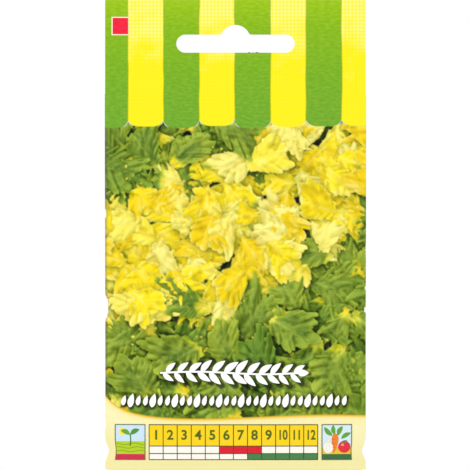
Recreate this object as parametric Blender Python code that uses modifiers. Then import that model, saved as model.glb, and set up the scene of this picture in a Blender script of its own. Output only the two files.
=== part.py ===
"""Paper seed packet with a punched hang slot, hanging upright, with loose seeds inside.

One die-cut blank of coated paper is folded into a pocket: the front panel, a narrow flap behind each
of its sides, and a back panel that turns up round the bottom fold and is glued to the flaps and to
the header. X runs across the packet, Y from front to back and Z up. The origin is the place where a
display hook carries the packet: the top of the slot, halfway through the header.
"""

import math
import random

import bmesh
import bpy
from mathutils import Euler, Matrix, Vector

MM = 0.001

# The folded packet
WIDTH = 72 * MM
HEIGHT = 130 * MM
TOP = 7 * MM  # top edge above the place where the hook bears
PAPER = 0.14 * MM
GLUE_GAP = 0.12 * MM  # between two plies that are glued together
SIDE_FOLD = 0.17 * MM  # radius of a side fold, at the middle of the paper

# The blank's panels
HEADER = 22 * MM  # height of the glued header above the pocket
FLAP_WIDTH = 12 * MM
FLAP_LOW = 2 * MM  # ends of a flap above the bottom fold
FLAP_HIGH = 104 * MM
FLAP_CHAMFER = 3 * MM
BACK_INSET = 1 * MM  # the back panel is this much narrower on each side

# The pocket, pushed open by the seeds
FRONT_BULGE = 2.8 * MM
BACK_BULGE = 2.4 * MM
FULLEST = 27 * MM  # height above the bottom fold where the pocket is thickest
FOLD_SOFT = 0.8 * MM  # distance over which the paper leaves a fold
FILL_POWER = 2.2  # how suddenly the pocket opens above the bottom fold
CLOSE_POWER = 1.3  # how long it stays full above the fullest place
ACROSS_POWER = 2.4  # how flat the bulge is across the packet
WIDTH_LOSS = 0.15 * MM  # on each side, where the pocket is thickest
PULL_POWER = 4  # how much of that loss is near the sides
PINCH = 1.1 * MM  # depth of the dent in each side above the bottom corners
PINCH_UP = 5.4 * MM  # height of that dent above the bottom fold
PINCH_REACH = 2.1 * MM

# The hang slot: a bar with round ends and a raised middle for the hook
BAR_LENGTH = 32.7 * MM
BAR_HEIGHT = 4.98 * MM
BAR_TOP = -2.68 * MM
BUMP_RADIUS = 4.14 * MM
BUMP_FILLET = 0.8 * MM
CUTTER_REACH = 2 * MM  # the cutter's ends before and behind the header

# The glue
GLUE_FILM = 0.06 * MM
GLUE_MARGIN = 1.5 * MM  # bare paper round the header's glue, at the slot, the pocket and the top edge
SIDE_MARGIN = 2 * MM  # bare paper at the header's sides, and past both ends of a side seam
SEAM_INNER = 26 * MM  # from the middle of the packet
SEAM_OUTER = 32 * MM

# The seeds
SEED_LENGTH = 2.8 * MM
SEED_RADIUS = 0.56 * MM
SEED_TIP = 0.26 * MM
SEEDS_A_SIDE = 125
HEAP_WIDTH = 56 * MM
HEAP_LOW = 3.5 * MM  # ends of the heap above the bottom fold
HEAP_HIGH = 43 * MM
SEED_CLEARANCE = 0.32 * MM
THIN_HEAP = 0.12 * MM  # half the thickness of the heap's packed inside at its thinnest
HEAP_SLUMP = 0.12  # share by which the heap's top slopes down to the right
HEAP_TAPER = 0.10  # share by which its top and bottom are narrower
HEAP_ROUND = 0.3  # power that rounds its rim
SEEDS_REACH = 0.95  # share of the heap's faces that the seeds cover
SEED_TILT = 0.06  # radians, either way, out of the plane of the paper
SEED_DRAW = 7

# Steps of the meshes
FRONT_STEPS = 14  # across, between the side seams
LOW_STEPS = 10  # up the lowest stretch of the pocket, where it curves most
HIGH_STEPS = 22  # from there to the flaps' upper ends
LOW_STRETCH = 14 * MM
CAP_STEPS, FILLET_STEPS, BUMP_STEPS = 10, 3, 7
HEAP_SEGMENTS, HEAP_RINGS = 28, 10
SEED_SIDES = 5

HALF = WIDTH / 2
BOTTOM = TOP - HEIGHT
POCKET_TOP = TOP - HEADER
HEADER_HALF_GAP = (PAPER + GLUE_GAP) / 2
POCKET_HALF_GAP = SIDE_FOLD + HEADER_HALF_GAP
BAR_MIDDLE = BAR_TOP - BAR_HEIGHT / 2
SEAM_MIDDLE = (SEAM_INNER + SEAM_OUTER) / 2
QUARTER_TURNS = (0.25, 0.5, 0.75)
MERGE = MM / 1000


def smooth(t):
    """Smooth step from 0 to 1."""
    t = min(max(t, 0.0), 1.0)
    return t * t * (3 - 2 * t)


def steps(low, high, count):
    """Evenly spaced numbers from low up to, and not including, high."""
    return [low + (high - low) * i / count for i in range(count)]


# Where the plies lie


def fullness(z):
    """How full the pocket is at a height: it opens fast above the bottom fold and closes slowly."""
    up = max(z - BOTTOM, 0.0)
    if up <= FULLEST:
        share = 1 - (1 - up / FULLEST) ** FILL_POWER
    else:
        fall = min((up - FULLEST) / (HEIGHT - HEADER - FULLEST), 1.0)
        share = (0.5 + 0.5 * math.cos(math.pi * fall)) ** CLOSE_POWER
    return share * (1 - math.exp(-up / FOLD_SOFT))


def opening(x, z):
    """Share of the full bulge at a place: nothing at the side folds, all of it in the middle."""
    across = min(abs(x) / HALF, 1.0)
    edge = 1 - math.exp(-(1 - across) * HALF / FOLD_SOFT)
    return fullness(z) * (1 - across**ACROSS_POWER) * edge


def half_gap(z):
    """Half the distance between front and back with no seeds: the pocket has room for a flap."""
    in_pocket = smooth((POCKET_TOP - z) / (HEIGHT - HEADER - FLAP_HIGH))
    return HEADER_HALF_GAP + (POCKET_HALF_GAP - HEADER_HALF_GAP) * in_pocket


def front_y(x, z):
    return -half_gap(z) - FRONT_BULGE * opening(x, z)


def back_y(x, z):
    return half_gap(z) + BACK_BULGE * opening(x, z)


def flap_y(x, z):
    return back_y(x, z) - PAPER - GLUE_GAP


def drawn_in(x, z):
    """Moves x towards the middle: the bulge takes width, and both sides dent over the corners."""
    dent = math.exp(-(((z - BOTTOM - PINCH_UP) / PINCH_REACH) ** 2))
    pull = WIDTH_LOSS * fullness(z) + PINCH * dent
    return x - math.copysign(pull * (abs(x) / HALF) ** PULL_POWER, x)


# The folded blank


def blank_columns():
    """Lines up the blank, as (x, share of the turn from the front panel to a flap), left to right."""
    inner = HALF - SIDE_FOLD
    side = [(x, 1.0) for x in (HALF - FLAP_WIDTH, SEAM_INNER, SEAM_MIDDLE, SEAM_OUTER, inner)]
    for turn in reversed(QUARTER_TURNS):
        angle = math.pi * turn
        side.append((inner + SIDE_FOLD * math.sin(angle), (1 - math.cos(angle)) / 2))
    side += [(x, 0.0) for x in (inner, HALF - BACK_INSET, SEAM_OUTER, SEAM_MIDDLE)]
    middle = [(x, 0.0) for x in steps(-SEAM_INNER, SEAM_INNER, FRONT_STEPS)] + [(SEAM_INNER, 0.0)]
    return [(-x, share) for x, share in side] + middle + side[::-1]


def blank_rows():
    """Lines across the blank, as (z, share of the turn to the back), down the front and up the back."""
    fold = POCKET_HALF_GAP
    heights = steps(0, LOW_STRETCH, LOW_STEPS) + steps(LOW_STRETCH, FLAP_HIGH, HIGH_STEPS)
    heights += [FLAP_HIGH, (FLAP_HIGH + HEIGHT - HEADER) / 2, HEIGHT - HEADER, HEIGHT]
    heights[0] = fold
    front = [(BOTTOM + h, 0.0) for h in reversed(heights)]
    for turn in QUARTER_TURNS:
        angle = math.pi * turn
        front.append((BOTTOM + fold - fold * math.sin(angle), (1 - math.cos(angle)) / 2))
    return front + [(BOTTOM + h, 1.0) for h in heights]


def fold_point(column, row):
    """The place in the folded packet of the point where a column and a row of the blank cross."""
    (x, to_flap), (z, to_back) = column, row
    low, high = BOTTOM + FLAP_LOW, BOTTOM + FLAP_HIGH
    beside_flap = low <= z <= high
    if to_flap == 1.0:
        outward = (HALF - abs(x)) / FLAP_WIDTH
        shorten = 1 - 2 * FLAP_CHAMFER * outward / (high - low)
        z = (low + high) / 2 + (z - (low + high) / 2) * shorten
    if to_flap == 0.0 and abs(x) == HALF - SIDE_FOLD and not beside_flap:
        x = math.copysign(HALF, x)  # a cut edge here, with no fold
    if to_back:
        y = front_y(x, z) * (1 - to_back) + back_y(x, z) * to_back
    else:
        y = front_y(x, z) * (1 - to_flap) + flap_y(x, z) * to_flap
    return Vector((drawn_in(x, z), y, z))


def in_blank(corners):
    """True for a cell of the grid that the die leaves in the blank, from its columns and rows."""
    columns = [column for column, row in corners]
    rows = [row for column, row in corners]
    if any(to_back > 0 for z, to_back in rows):
        return all(abs(x) <= HALF - BACK_INSET and to_flap == 0.0 for x, to_flap in columns)
    if any(to_flap > 0 for x, to_flap in columns):
        heights = [z - BOTTOM for z, to_back in rows]
        return FLAP_LOW - MERGE <= min(heights) and max(heights) <= FLAP_HIGH + MERGE
    return True


def grid_object(name, columns, rows, place, keep=None, thickness=PAPER):
    """A sheet whose grid points go where place says, without the cells that keep leaves out."""
    bm = bmesh.new()
    bmesh.ops.create_grid(bm, x_segments=len(columns) - 1, y_segments=len(rows) - 1, size=0.5)
    spot = {}
    for vert in bm.verts:
        i = round((vert.co.x + 0.5) * (len(columns) - 1))
        j = round((vert.co.y + 0.5) * (len(rows) - 1))
        spot[vert] = (columns[i], rows[j])
    if keep:
        cells = [f for f in bm.faces if not keep([spot[v] for v in f.verts])]
        bmesh.ops.delete(bm, geom=cells, context="FACES")
    for vert in bm.verts:
        vert.co = place(*spot[vert])
    mesh = bpy.data.meshes.new(name)
    bm.to_mesh(mesh)
    bm.free()
    mesh.shade_smooth()
    sheet = bpy.data.objects.new(name, mesh)
    wall = sheet.modifiers.new("thickness", "SOLIDIFY")
    wall.thickness = thickness
    wall.offset = 0
    return sheet


# The hang slot


def arc(centre, radius, start, end, count):
    """Points round an arc, both ends included, with angles in degrees."""
    for i in range(count + 1):
        angle = math.radians(start + (end - start) * i / count)
        yield centre[0] + radius * math.cos(angle), centre[1] + radius * math.sin(angle)


def slot_outline(grow):
    """The slot's outline, grown by a margin: round ends, and a round bump with a fillet on each side."""
    end_x = BAR_LENGTH / 2 - BAR_HEIGHT / 2
    radius = BAR_HEIGHT / 2 + grow
    bump = BUMP_RADIUS + grow
    fillet = BUMP_FILLET - min(grow, BUMP_FILLET / 2)
    bar_top = BAR_TOP + grow
    rise = bar_top + fillet + BUMP_RADIUS
    fillet_x = math.sqrt((bump + fillet) ** 2 - rise**2)
    meet = math.degrees(math.atan2(rise, fillet_x))
    right = list(arc((end_x, BAR_MIDDLE), radius, -90, 90, CAP_STEPS))
    right += arc((fillet_x, bar_top + fillet), fillet, 270, 180 + meet, FILLET_STEPS)
    right += list(arc((0, -BUMP_RADIUS), bump, meet, 90, BUMP_STEPS))[1:]
    left = [(-x, z) for x, z in reversed(right[:-1])]
    return right + left


def slot_cutter(name, grow, collection):
    """A prism of the slot's outline that runs right through both plies of the header."""
    curve = bpy.data.curves.new(name, "CURVE")
    curve.dimensions = "2D"
    curve.fill_mode = "BOTH"
    curve.extrude = CUTTER_REACH
    points = slot_outline(grow)
    spline = curve.splines.new("POLY")
    spline.points.add(len(points) - 1)
    for point, (x, z) in zip(spline.points, points):
        point.co = (x, z, 0, 1)
    spline.use_cyclic_u = True
    outline = bpy.data.objects.new(name + "_outline", curve)
    outline.rotation_euler = (math.pi / 2, 0, 0)
    collection.objects.link(outline)
    bpy.context.view_layer.update()
    graph = bpy.context.evaluated_depsgraph_get()
    mesh = bpy.data.meshes.new_from_object(outline.evaluated_get(graph))
    bm = bmesh.new()
    bm.from_mesh(mesh)
    bmesh.ops.remove_doubles(bm, verts=bm.verts, dist=MERGE)
    bm.to_mesh(mesh)
    bm.free()
    cutter = bpy.data.objects.new(name, mesh)
    cutter.matrix_world = outline.matrix_world
    bpy.data.objects.remove(outline)
    cutter.display_type = "WIRE"
    cutter.hide_render = True
    collection.objects.link(cutter)
    return cutter


def cut(target, cutter):
    boolean = target.modifiers.new("slot", "BOOLEAN")
    boolean.operation = "DIFFERENCE"
    boolean.solver = "EXACT"
    boolean.object = cutter


# The packet's pieces


def paper_packet():
    """The folded blank: one sheet, whose plies come close but never meet."""
    return grid_object("paper_packet", blank_columns(), blank_rows(), fold_point, keep=in_blank)


def side_seam(side, name):
    """The glue between a flap and the back panel, as a flat dried strip."""
    columns = [side * x for x in (SEAM_INNER, SEAM_MIDDLE, SEAM_OUTER)]
    if side < 0:
        columns.reverse()
    rows = [z for z, to_back in blank_rows() if to_back == 1.0]
    rows = [z for z in rows if FLAP_LOW + SIDE_MARGIN < z - BOTTOM < FLAP_HIGH - SIDE_MARGIN]

    def place(x, z):
        return Vector((drawn_in(x, z), (flap_y(x, z) + back_y(x, z)) / 2, z))

    return grid_object(name, columns, rows, place, thickness=GLUE_FILM)


def header_glue():
    """The glue that makes one stiff board of the header's two plies."""
    half = HALF - SIDE_MARGIN
    columns = [-half, 0, half]
    rows = [POCKET_TOP + GLUE_MARGIN, BAR_MIDDLE, TOP - GLUE_MARGIN]
    return grid_object("header_glue", columns, rows, lambda x, z: Vector((x, 0, z)), thickness=GLUE_FILM)


# The seeds


def pocket_inside(x, z):
    """The middle and the half width of the room between the pocket's inner faces."""
    behind = flap_y(x, z) if abs(x) > HALF - FLAP_WIDTH - MM else back_y(x, z)
    front = front_y(x, z)
    return (front + behind) / 2, (behind - front - PAPER) / 2


def heap_place(across, up, side):
    """A place on the heap's front (side -1) or back (side 1), from across and up in the unit circle."""
    low, high = BOTTOM + HEAP_LOW, BOTTOM + HEAP_HIGH
    slump = 1 - HEAP_SLUMP * max(up, 0.0) * across
    x = across * HEAP_WIDTH / 2 * (1 - HEAP_TAPER * up * up)
    z = (low + high) / 2 + up * (high - low) / 2 * slump
    middle, room = pocket_inside(x, z)
    reach = max(room - SEED_CLEARANCE - SEED_RADIUS, THIN_HEAP)
    rounding = max(1 - across**2 - up**2, 0.0) ** HEAP_ROUND
    return Vector((x, middle + side * reach * rounding, z))


def heap_core(collection):
    """The packed inside of the heap, as a ball pressed into the shape of the pocket."""
    bm = bmesh.new()
    turn = Matrix.Rotation(math.pi / 2, 4, "X")
    bmesh.ops.create_uvsphere(
        bm, u_segments=HEAP_SEGMENTS, v_segments=HEAP_RINGS, radius=1, matrix=turn
    )
    for vert in bm.verts:
        vert.co = heap_place(vert.co.x, vert.co.z, math.copysign(1, vert.co.y))
    mesh = bpy.data.meshes.new("heap_core")
    bm.to_mesh(mesh)
    bm.free()
    core = bpy.data.objects.new("heap_core", mesh)
    collection.objects.link(core)
    return core


def seed_mesh():
    """One achene: a blunt five-sided wedge, narrow at the root end."""
    bm = bmesh.new()
    bmesh.ops.create_cone(
        bm, cap_ends=True, segments=SEED_SIDES, radius1=SEED_TIP, radius2=SEED_RADIUS, depth=SEED_LENGTH
    )
    mesh = bpy.data.meshes.new("seed")
    bm.to_mesh(mesh)
    bm.free()
    return mesh


def place_seeds(collection):
    """Lays seeds on both faces of the heap in a sunflower pattern, each turned at random."""
    draw = random.Random(SEED_DRAW)
    mesh = seed_mesh()
    golden = math.pi * (3 - math.sqrt(5))
    for side in (-1, 1):
        for k in range(SEEDS_A_SIDE):
            radius = SEEDS_REACH * math.sqrt((k + 0.5) / SEEDS_A_SIDE)
            angle = k * golden + side
            seed = bpy.data.objects.new("seed", mesh)
            seed.location = heap_place(radius * math.cos(angle), radius * math.sin(angle), side)
            turn, tilt = draw.uniform(0, 2 * math.pi), draw.uniform(-SEED_TILT, SEED_TILT)
            seed.rotation_euler = Euler((0, turn, tilt))
            collection.objects.link(seed)


def seeds():
    """The heap as one body: the core and its seeds, joined by one union."""
    parts = bpy.data.collections.new("heap_parts")
    bpy.context.scene.collection.children.link(parts)
    core = heap_core(bpy.context.scene.collection)
    place_seeds(parts)
    join = core.modifiers.new("join", "BOOLEAN")
    join.operation = "UNION"
    join.solver = "EXACT"
    join.operand_type = "COLLECTION"
    join.collection = parts
    bpy.context.view_layer.update()
    graph = bpy.context.evaluated_depsgraph_get()
    mesh = bpy.data.meshes.new_from_object(core.evaluated_get(graph))
    mesh.name = "seeds"
    for part in list(parts.objects) + [core]:
        bpy.data.objects.remove(part)
    bpy.data.collections.remove(parts)
    return bpy.data.objects.new("seeds", mesh)


# Materials


def material(name, colour, roughness):
    made = bpy.data.materials.new(name)
    made.use_nodes = True
    shader = made.node_tree.nodes["Principled BSDF"]
    shader.inputs["Base Color"].default_value = (*colour, 1)
    shader.inputs["Roughness"].default_value = roughness
    shader.inputs["Metallic"].default_value = 0
    return made


def add(piece, finish, collection):
    piece.data.materials.clear()
    piece.data.materials.append(finish)
    collection.objects.link(piece)
    return piece


def main():
    for old in list(bpy.data.objects):
        bpy.data.objects.remove(old)
    packet = bpy.data.collections.new("seed_packet")
    cutters = bpy.data.collections.new("slot_cutters")
    bpy.context.scene.collection.children.link(packet)
    bpy.context.scene.collection.children.link(cutters)

    coated_paper = material("printed_coated_paper", (0.62, 0.66, 0.10), 0.45)
    dried_glue = material("dried_glue", (0.80, 0.76, 0.62), 0.35)
    seed_coat = material("seed_coat", (0.42, 0.33, 0.22), 0.75)

    sheet = add(paper_packet(), coated_paper, packet)
    header = add(header_glue(), dried_glue, packet)
    add(side_seam(-1, "glue_seam_left"), dried_glue, packet)
    add(side_seam(1, "glue_seam_right"), dried_glue, packet)
    add(seeds(), seed_coat, packet)
    cut(sheet, slot_cutter("slot_cutter", 0, cutters))
    cut(header, slot_cutter("glue_slot_cutter", GLUE_MARGIN, cutters))


main()
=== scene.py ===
"""Looks of a hanging paper seed packet: its folded sheet, the print on it, its glue and its seeds.

Lengths are in millimetres until a mesh is made from them. A place on the print is (across, up): from
the lower left corner of the front or back panel, as someone looking at that panel sees it laid flat.
"""

import bmesh
import bpy
import numpy as np
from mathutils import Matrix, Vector


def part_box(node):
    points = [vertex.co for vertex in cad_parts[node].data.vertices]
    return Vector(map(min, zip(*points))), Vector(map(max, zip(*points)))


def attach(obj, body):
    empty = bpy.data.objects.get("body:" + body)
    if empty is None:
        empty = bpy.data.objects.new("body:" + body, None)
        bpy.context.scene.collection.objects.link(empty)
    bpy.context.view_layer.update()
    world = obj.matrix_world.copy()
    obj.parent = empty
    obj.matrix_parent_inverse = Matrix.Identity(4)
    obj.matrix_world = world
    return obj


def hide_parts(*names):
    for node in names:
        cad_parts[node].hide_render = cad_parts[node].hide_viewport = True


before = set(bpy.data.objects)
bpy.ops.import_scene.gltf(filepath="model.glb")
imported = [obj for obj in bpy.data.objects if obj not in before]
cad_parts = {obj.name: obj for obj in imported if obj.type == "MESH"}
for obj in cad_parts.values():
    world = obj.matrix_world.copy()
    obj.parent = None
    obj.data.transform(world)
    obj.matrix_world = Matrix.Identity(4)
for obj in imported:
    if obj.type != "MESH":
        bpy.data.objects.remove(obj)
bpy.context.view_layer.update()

MM = 0.001
GOLDEN_ANGLE = np.pi * (3 - np.sqrt(5))

# The folded packet, as its solids have it
PAPER = 0.14
GLUE_GAP = 0.12
SIDE_FOLD = 0.17
packet_low, packet_high = (np.array(corner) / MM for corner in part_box("paper_packet"))
HALF = (packet_high[0] - packet_low[0] - PAPER) / 2
TOP = packet_high[2]
BOTTOM = packet_low[2] + PAPER / 2
HEIGHT = TOP - BOTTOM
HEADER = 22.0
FLAP_WIDTH = 12.0
FLAP_LOW = 2.0
FLAP_HIGH = 104.0
FLAP_CHAMFER = 3.0
BACK_INSET = 1.0
FRONT_BULGE = 2.8
BACK_BULGE = 2.4
FULLEST = 27.0
FOLD_SOFT = 0.8
WIDTH_LOSS = 0.15
PINCH = 1.1
PINCH_UP = 5.4
PINCH_REACH = 2.1
BAR_LENGTH = 32.7
BAR_HEIGHT = 4.98
BAR_TOP = -2.68
BUMP_RADIUS = 4.14
BUMP_FILLET = 0.8
HEAP_WIDTH = 56.0
HEAP_LOW = 3.5
HEAP_HIGH = 43.0
SEED_LENGTH = 2.8
SEED_RADIUS = 0.56

INNER = HALF - SIDE_FOLD  # the front lies flat up to here, and the side folds begin
BACK_HALF = HALF - BACK_INSET
POCKET_TOP = TOP - HEADER
HEADER_HALF_GAP = (PAPER + GLUE_GAP) / 2
POCKET_HALF_GAP = SIDE_FOLD + HEADER_HALF_GAP
SLOT_CLEAR = -9.0  # below this height the sheet has no slot in it
FLAP_NOTCH = 0.06  # height of the cut between a flap's end and the plain edge
HAIR = 1e-6  # places closer than this are the same place

# The print
INK_FILM = 0.03  # the printed face lies this far outside the paper
INK_LAYER = 0.014  # between one ink and the next on top of it
INK_CELL = 0.35  # a patch of ink bends with the paper in cells of this size
STRIPE = 9.84
FIRST_STRIPE = 6.28  # where the first whole stripe of the awning begins
HEM_UP = 94.6
HEM_STEPS = (0.0, 0.35, 0.0, 0.5, -0.1, 0.25, 0.4, 0.55)  # how far each stripe ends above that
HEM_CORNER = (3.24, 2.16)  # width and height of a stripe's rounded corner
BAND_DOWN = 115.2  # from the packet's top to the cream band's upper edge
WEAVE = 1.0  # between the threads of the canvas in the awning
CLOUD = 6.25  # width of a faded patch in the awning's yellow
WANDER = 10.0  # over which its seams waver
STREAK = 0.909  # height of a pale streak in its green, before the streaks are drawn out sideways
FLECK = 0.4167  # width of a fleck of bare paper where the print is rubbed
MOTTLE = 8.33  # width of a paler patch in the back's cream
PICTURE_HIGH = 98.0
PICTURE_LOW = 13.4
BLEED = 3.6  # the picture runs on round the side folds

# Arithmetic on whole arrays


def smoothstep(low, high, x):
    """0 below low, 1 above high, and a cubic with level ends in between."""
    t = np.clip((x - low) / (high - low), 0, 1)
    return t * t * (3 - 2 * t)


def mix(a, b, share):
    """A straight blend from a to b."""
    return a + (b - a) * share


def linear(hex_colour):
    """Linear light from an sRGB hex value."""
    c = np.array([int(hex_colour[i:i + 2], 16) for i in (1, 3, 5)]) / 255
    return np.where(c <= 0.04045, c / 12.92, ((c + 0.055) / 1.055) ** 2.4)


def between(a, b, share):
    """A colour between two sRGB hex values, blended as linear light."""
    return mix(linear(a), linear(b), share)


def divided(*marks):
    """Numbers from the first mark to the last; every second mark is the count of even steps there."""
    runs = [np.linspace(a, b, n, endpoint=False) for a, n, b in zip(marks[::2], marks[1::2], marks[2::2])]
    return np.concatenate(runs + [np.array(marks[-1:], float)])


def under_bell(field, sigma):
    """A field that repeats, smoothed by a Gaussian bell in the Fourier plane."""
    down = np.fft.fftfreq(field.shape[0])[:, None]
    across = np.fft.rfftfreq(field.shape[1])[None, :]
    bell = np.exp(-2 * (np.pi * sigma) ** 2 * (down**2 + across**2))
    return np.fft.irfft2(np.fft.rfft2(field) * bell, s=field.shape)


def blur(field, sigma):
    """Smooths a field with a Gaussian bell, its borders mirrored."""
    pad = int(3 * sigma) + 1
    return under_bell(np.pad(field, pad, mode="reflect"), sigma)[pad:-pad, pad:-pad]


# The packet's form


def fullness(z):
    """How full the pocket is: a power curve up to the fullest height, then a softened half cosine."""
    up = np.maximum(z - BOTTOM, 0)
    low = 1 - (1 - np.minimum(up / FULLEST, 1)) ** 2.2
    fall = np.clip((up - FULLEST) / (HEIGHT - HEADER - FULLEST), 0, 1)
    high = (0.5 + 0.5 * np.cos(np.pi * fall)) ** 1.3
    return np.where(up <= FULLEST, low, high) * (1 - np.exp(-up / FOLD_SOFT))


def opening(x, z):
    """Share of the full bulge: the fullness, times a flat-topped curve that ends at the side folds."""
    across = np.minimum(np.abs(x) / HALF, 1)
    edge = 1 - np.exp(-(1 - across) * HALF / FOLD_SOFT)
    return fullness(z) * (1 - across**2.4) * edge


def half_gap(z):
    """Half the distance between the panels before the seeds open them: a smooth step from the glued
    header to the pocket, where a flap lies between them."""
    in_pocket = smoothstep(0, HEIGHT - HEADER - FLAP_HIGH, POCKET_TOP - z)
    return HEADER_HALF_GAP + (POCKET_HALF_GAP - HEADER_HALF_GAP) * in_pocket


DENT_UP, DENT_REACH, DENT = 45.0, 2.9, 0.55  # in the left fold: height, half length, depth


def drawn_in(x, z):
    """x moved inwards: by the bulge, as the fourth power of its share, and near the folds, as the
    sixteenth power, by a bell-shaped dent above each corner and a flat-topped one in the left fold."""
    pinch = PINCH * np.exp(-(((z - BOTTOM - PINCH_UP) / PINCH_REACH) ** 2))
    knock = DENT * (x < 0) * np.exp(-(((z - BOTTOM - DENT_UP) / DENT_REACH) ** 4))
    share = np.abs(x) / HALF
    return x - np.sign(x) * (WIDTH_LOSS * fullness(z) * share**4 + (pinch + knock) * share**16)


SEED_MARKS = 150
SEED_MARK_HEIGHT = 0.10
SEED_MARK = (1.25, 0.62)  # half length and half width of the bump over one seed
SEED_MARKS_FADE = (11, 17)  # heights between which they fade out towards the bottom fold


def seed_relief(x, z, draw_seed):
    """Seeds showing through the paper: a sum of long Gaussian bells in a sunflower pattern on the heap."""
    draw = np.random.default_rng(draw_seed)
    relief = np.zeros(np.broadcast(x, z).shape)
    middle = BOTTOM + (HEAP_LOW + HEAP_HIGH) / 2
    for k in range(SEED_MARKS):
        reach = np.sqrt((k + 0.5) / SEED_MARKS)
        angle = k * GOLDEN_ANGLE + draw.uniform(-0.5, 0.5)
        turn = draw.uniform(0, np.pi)
        tall = draw.uniform(0.3, 1) * (1 - 0.6 * reach**3)
        dx = x - reach * np.cos(angle) * HEAP_WIDTH / 2
        dz = z - middle - reach * np.sin(angle) * (HEAP_HIGH - HEAP_LOW) / 2
        along = (dx * np.cos(turn) + dz * np.sin(turn)) / SEED_MARK[0]
        aside = (dz * np.cos(turn) - dx * np.sin(turn)) / SEED_MARK[1]
        relief += tall * np.exp(-(along**2) - aside**2)
    return SEED_MARK_HEIGHT * relief * smoothstep(*SEED_MARKS_FADE, z - BOTTOM)


BUCKLE_HEIGHT = 0.09
BUCKLE_PACE = 1.55  # up the packet for one radian of a buckle
BUCKLE_DRIFT = 7.3  # and for one radian of the swing in their spacing
BUCKLE_REACH = 4.5  # how far inwards they fade
BUCKLE_EDGE = 0.9  # how near the fold they begin


def buckles(x, z, phase):
    """Waves that the filled pocket puts in its side edges: sines up the packet, fading inwards."""
    inwards = HALF - np.abs(x)
    up = z - BOTTOM
    side = np.sign(x)
    drift = 1.9 * np.sin(up / BUCKLE_DRIFT + phase + side)
    wave = np.sin(up / BUCKLE_PACE + drift + phase * side)
    fade = np.exp(-inwards / BUCKLE_REACH) * (1 - np.exp(-inwards / BUCKLE_EDGE))
    return BUCKLE_HEIGHT * wave * fade * fullness(z)


CREASES = ((-1, 52, 0.13), (-1, 31, -0.08), (1, 58, 0.12), (1, 35, -0.09))  # side, degrees, height
CREASE_FOOT = (0.4, 1.0)  # where they start: in from the side fold, and up from the bottom fold
CREASE_LENGTH = 9.0
CREASE_WIDTH = 0.9


def corner_creases(x, z):
    """Soft folds running up and in from the bottom corners: bells across a line, fading along it."""
    up = z - BOTTOM - CREASE_FOOT[1]
    relief = 0
    for side, degrees, height in CREASES:
        angle = np.radians(degrees)
        out = HALF - CREASE_FOOT[0] - side * x
        along = out * np.cos(angle) + up * np.sin(angle)
        aside = up * np.cos(angle) - out * np.sin(angle)
        fade = smoothstep(0.3, 2.5, along) * np.exp(-((along / CREASE_LENGTH) ** 2))
        relief = relief + height * fade * np.exp(-((aside / CREASE_WIDTH) ** 2))
    return relief


FLAP_STEP = 0.07  # how far a flap's edge pushes the back panel out


def front_y(x, z):
    """The front panel's middle surface: half the gap, its bulge and its relief, towards the viewer."""
    relief = seed_relief(x, z, 11) + buckles(x, z, 0.4) + corner_creases(x, z)
    return -half_gap(z) - FRONT_BULGE * opening(x, z) - relief


def back_y(x, z):
    """The back panel's middle surface: as the front's, and stepped out over each flap, where the paper
    beneath hides half of the seeds' relief."""
    beside = smoothstep(HALF - FLAP_WIDTH - 0.4, HALF - FLAP_WIDTH + 0.3, np.abs(x))
    beside = beside * smoothstep(FLAP_LOW - 0.3, FLAP_LOW + 0.3, z - BOTTOM)
    step = FLAP_STEP * beside * (1 - smoothstep(FLAP_HIGH - 0.4, FLAP_HIGH + 0.4, z - BOTTOM))
    relief = seed_relief(x, z, 12) * (1 - 0.5 * beside) + buckles(x, z, 2.1) + 0.7 * corner_creases(-x, z)
    return half_gap(z) + BACK_BULGE * opening(x, z) + relief + step


# Meshes


def placed(name, data):
    """A new object in the scene, at the origin."""
    made = bpy.data.objects.new(name, data)
    bpy.context.scene.collection.objects.link(made)
    return made


def grid_quads(rows, columns, keep=None):
    """Corner numbers of a grid's cells, facing a viewer who sees rows go down and columns go right."""
    n = np.arange(rows * columns).reshape(rows, columns)
    quads = np.stack([n[:-1, :-1], n[1:, :-1], n[1:, 1:], n[:-1, 1:]], axis=-1)
    return quads.reshape(-1, 4) if keep is None else quads[keep]


def grid_normals(points):
    """Unit normals of a grid of points: the cross product of its steps down and its steps right."""
    normal = np.cross(np.gradient(points, axis=0), np.gradient(points, axis=1))
    return normal / np.maximum(np.linalg.norm(normal, axis=-1, keepdims=True), 1e-12)


def piece(name, parts, finish, replaced=(), joined=False):
    """One mesh from parts, each its points, its faces and its values by name for every point. Where it is
    joined, parts that share an edge share its points."""
    points, faces, values, start = [], [], {}, 0
    for part_points, part_faces, part_values in parts:
        flat = part_points.reshape(-1, 3)
        used, numbers = np.unique(part_faces, return_inverse=True)
        points.append(flat[used])
        faces += (numbers.reshape(part_faces.shape) + start).tolist()
        for key, value in part_values.items():
            values.setdefault(key, []).append(value.reshape(-1, value.shape[-1])[used])
        start += len(used)
    mesh = bpy.data.meshes.new(name)
    mesh.from_pydata((np.concatenate(points) * MM).tolist(), [], faces)
    corners = np.zeros(len(mesh.loops), np.int32)
    mesh.loops.foreach_get("vertex_index", corners)
    for key, value in values.items():
        value = np.concatenate(value)
        if key == "OFBake":
            layer = mesh.uv_layers.new(name=key)
            layer.uv.foreach_set("vector", value[corners].astype(np.float32).ravel())
        else:
            attribute = mesh.attributes.new(key, "FLOAT_VECTOR", "POINT")
            attribute.data.foreach_set("vector", value.astype(np.float32).ravel())
    if joined:
        bm = bmesh.new()
        bm.from_mesh(mesh)
        bmesh.ops.remove_doubles(bm, verts=bm.verts, dist=MM / 1e4)
        bm.to_mesh(mesh)
        bm.free()
    mesh.shade_smooth()
    mesh.materials.append(finish)
    made = placed(name, mesh)
    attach(made, "root")
    if replaced:
        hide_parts(*replaced)
    return made


# The folded sheet


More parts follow.
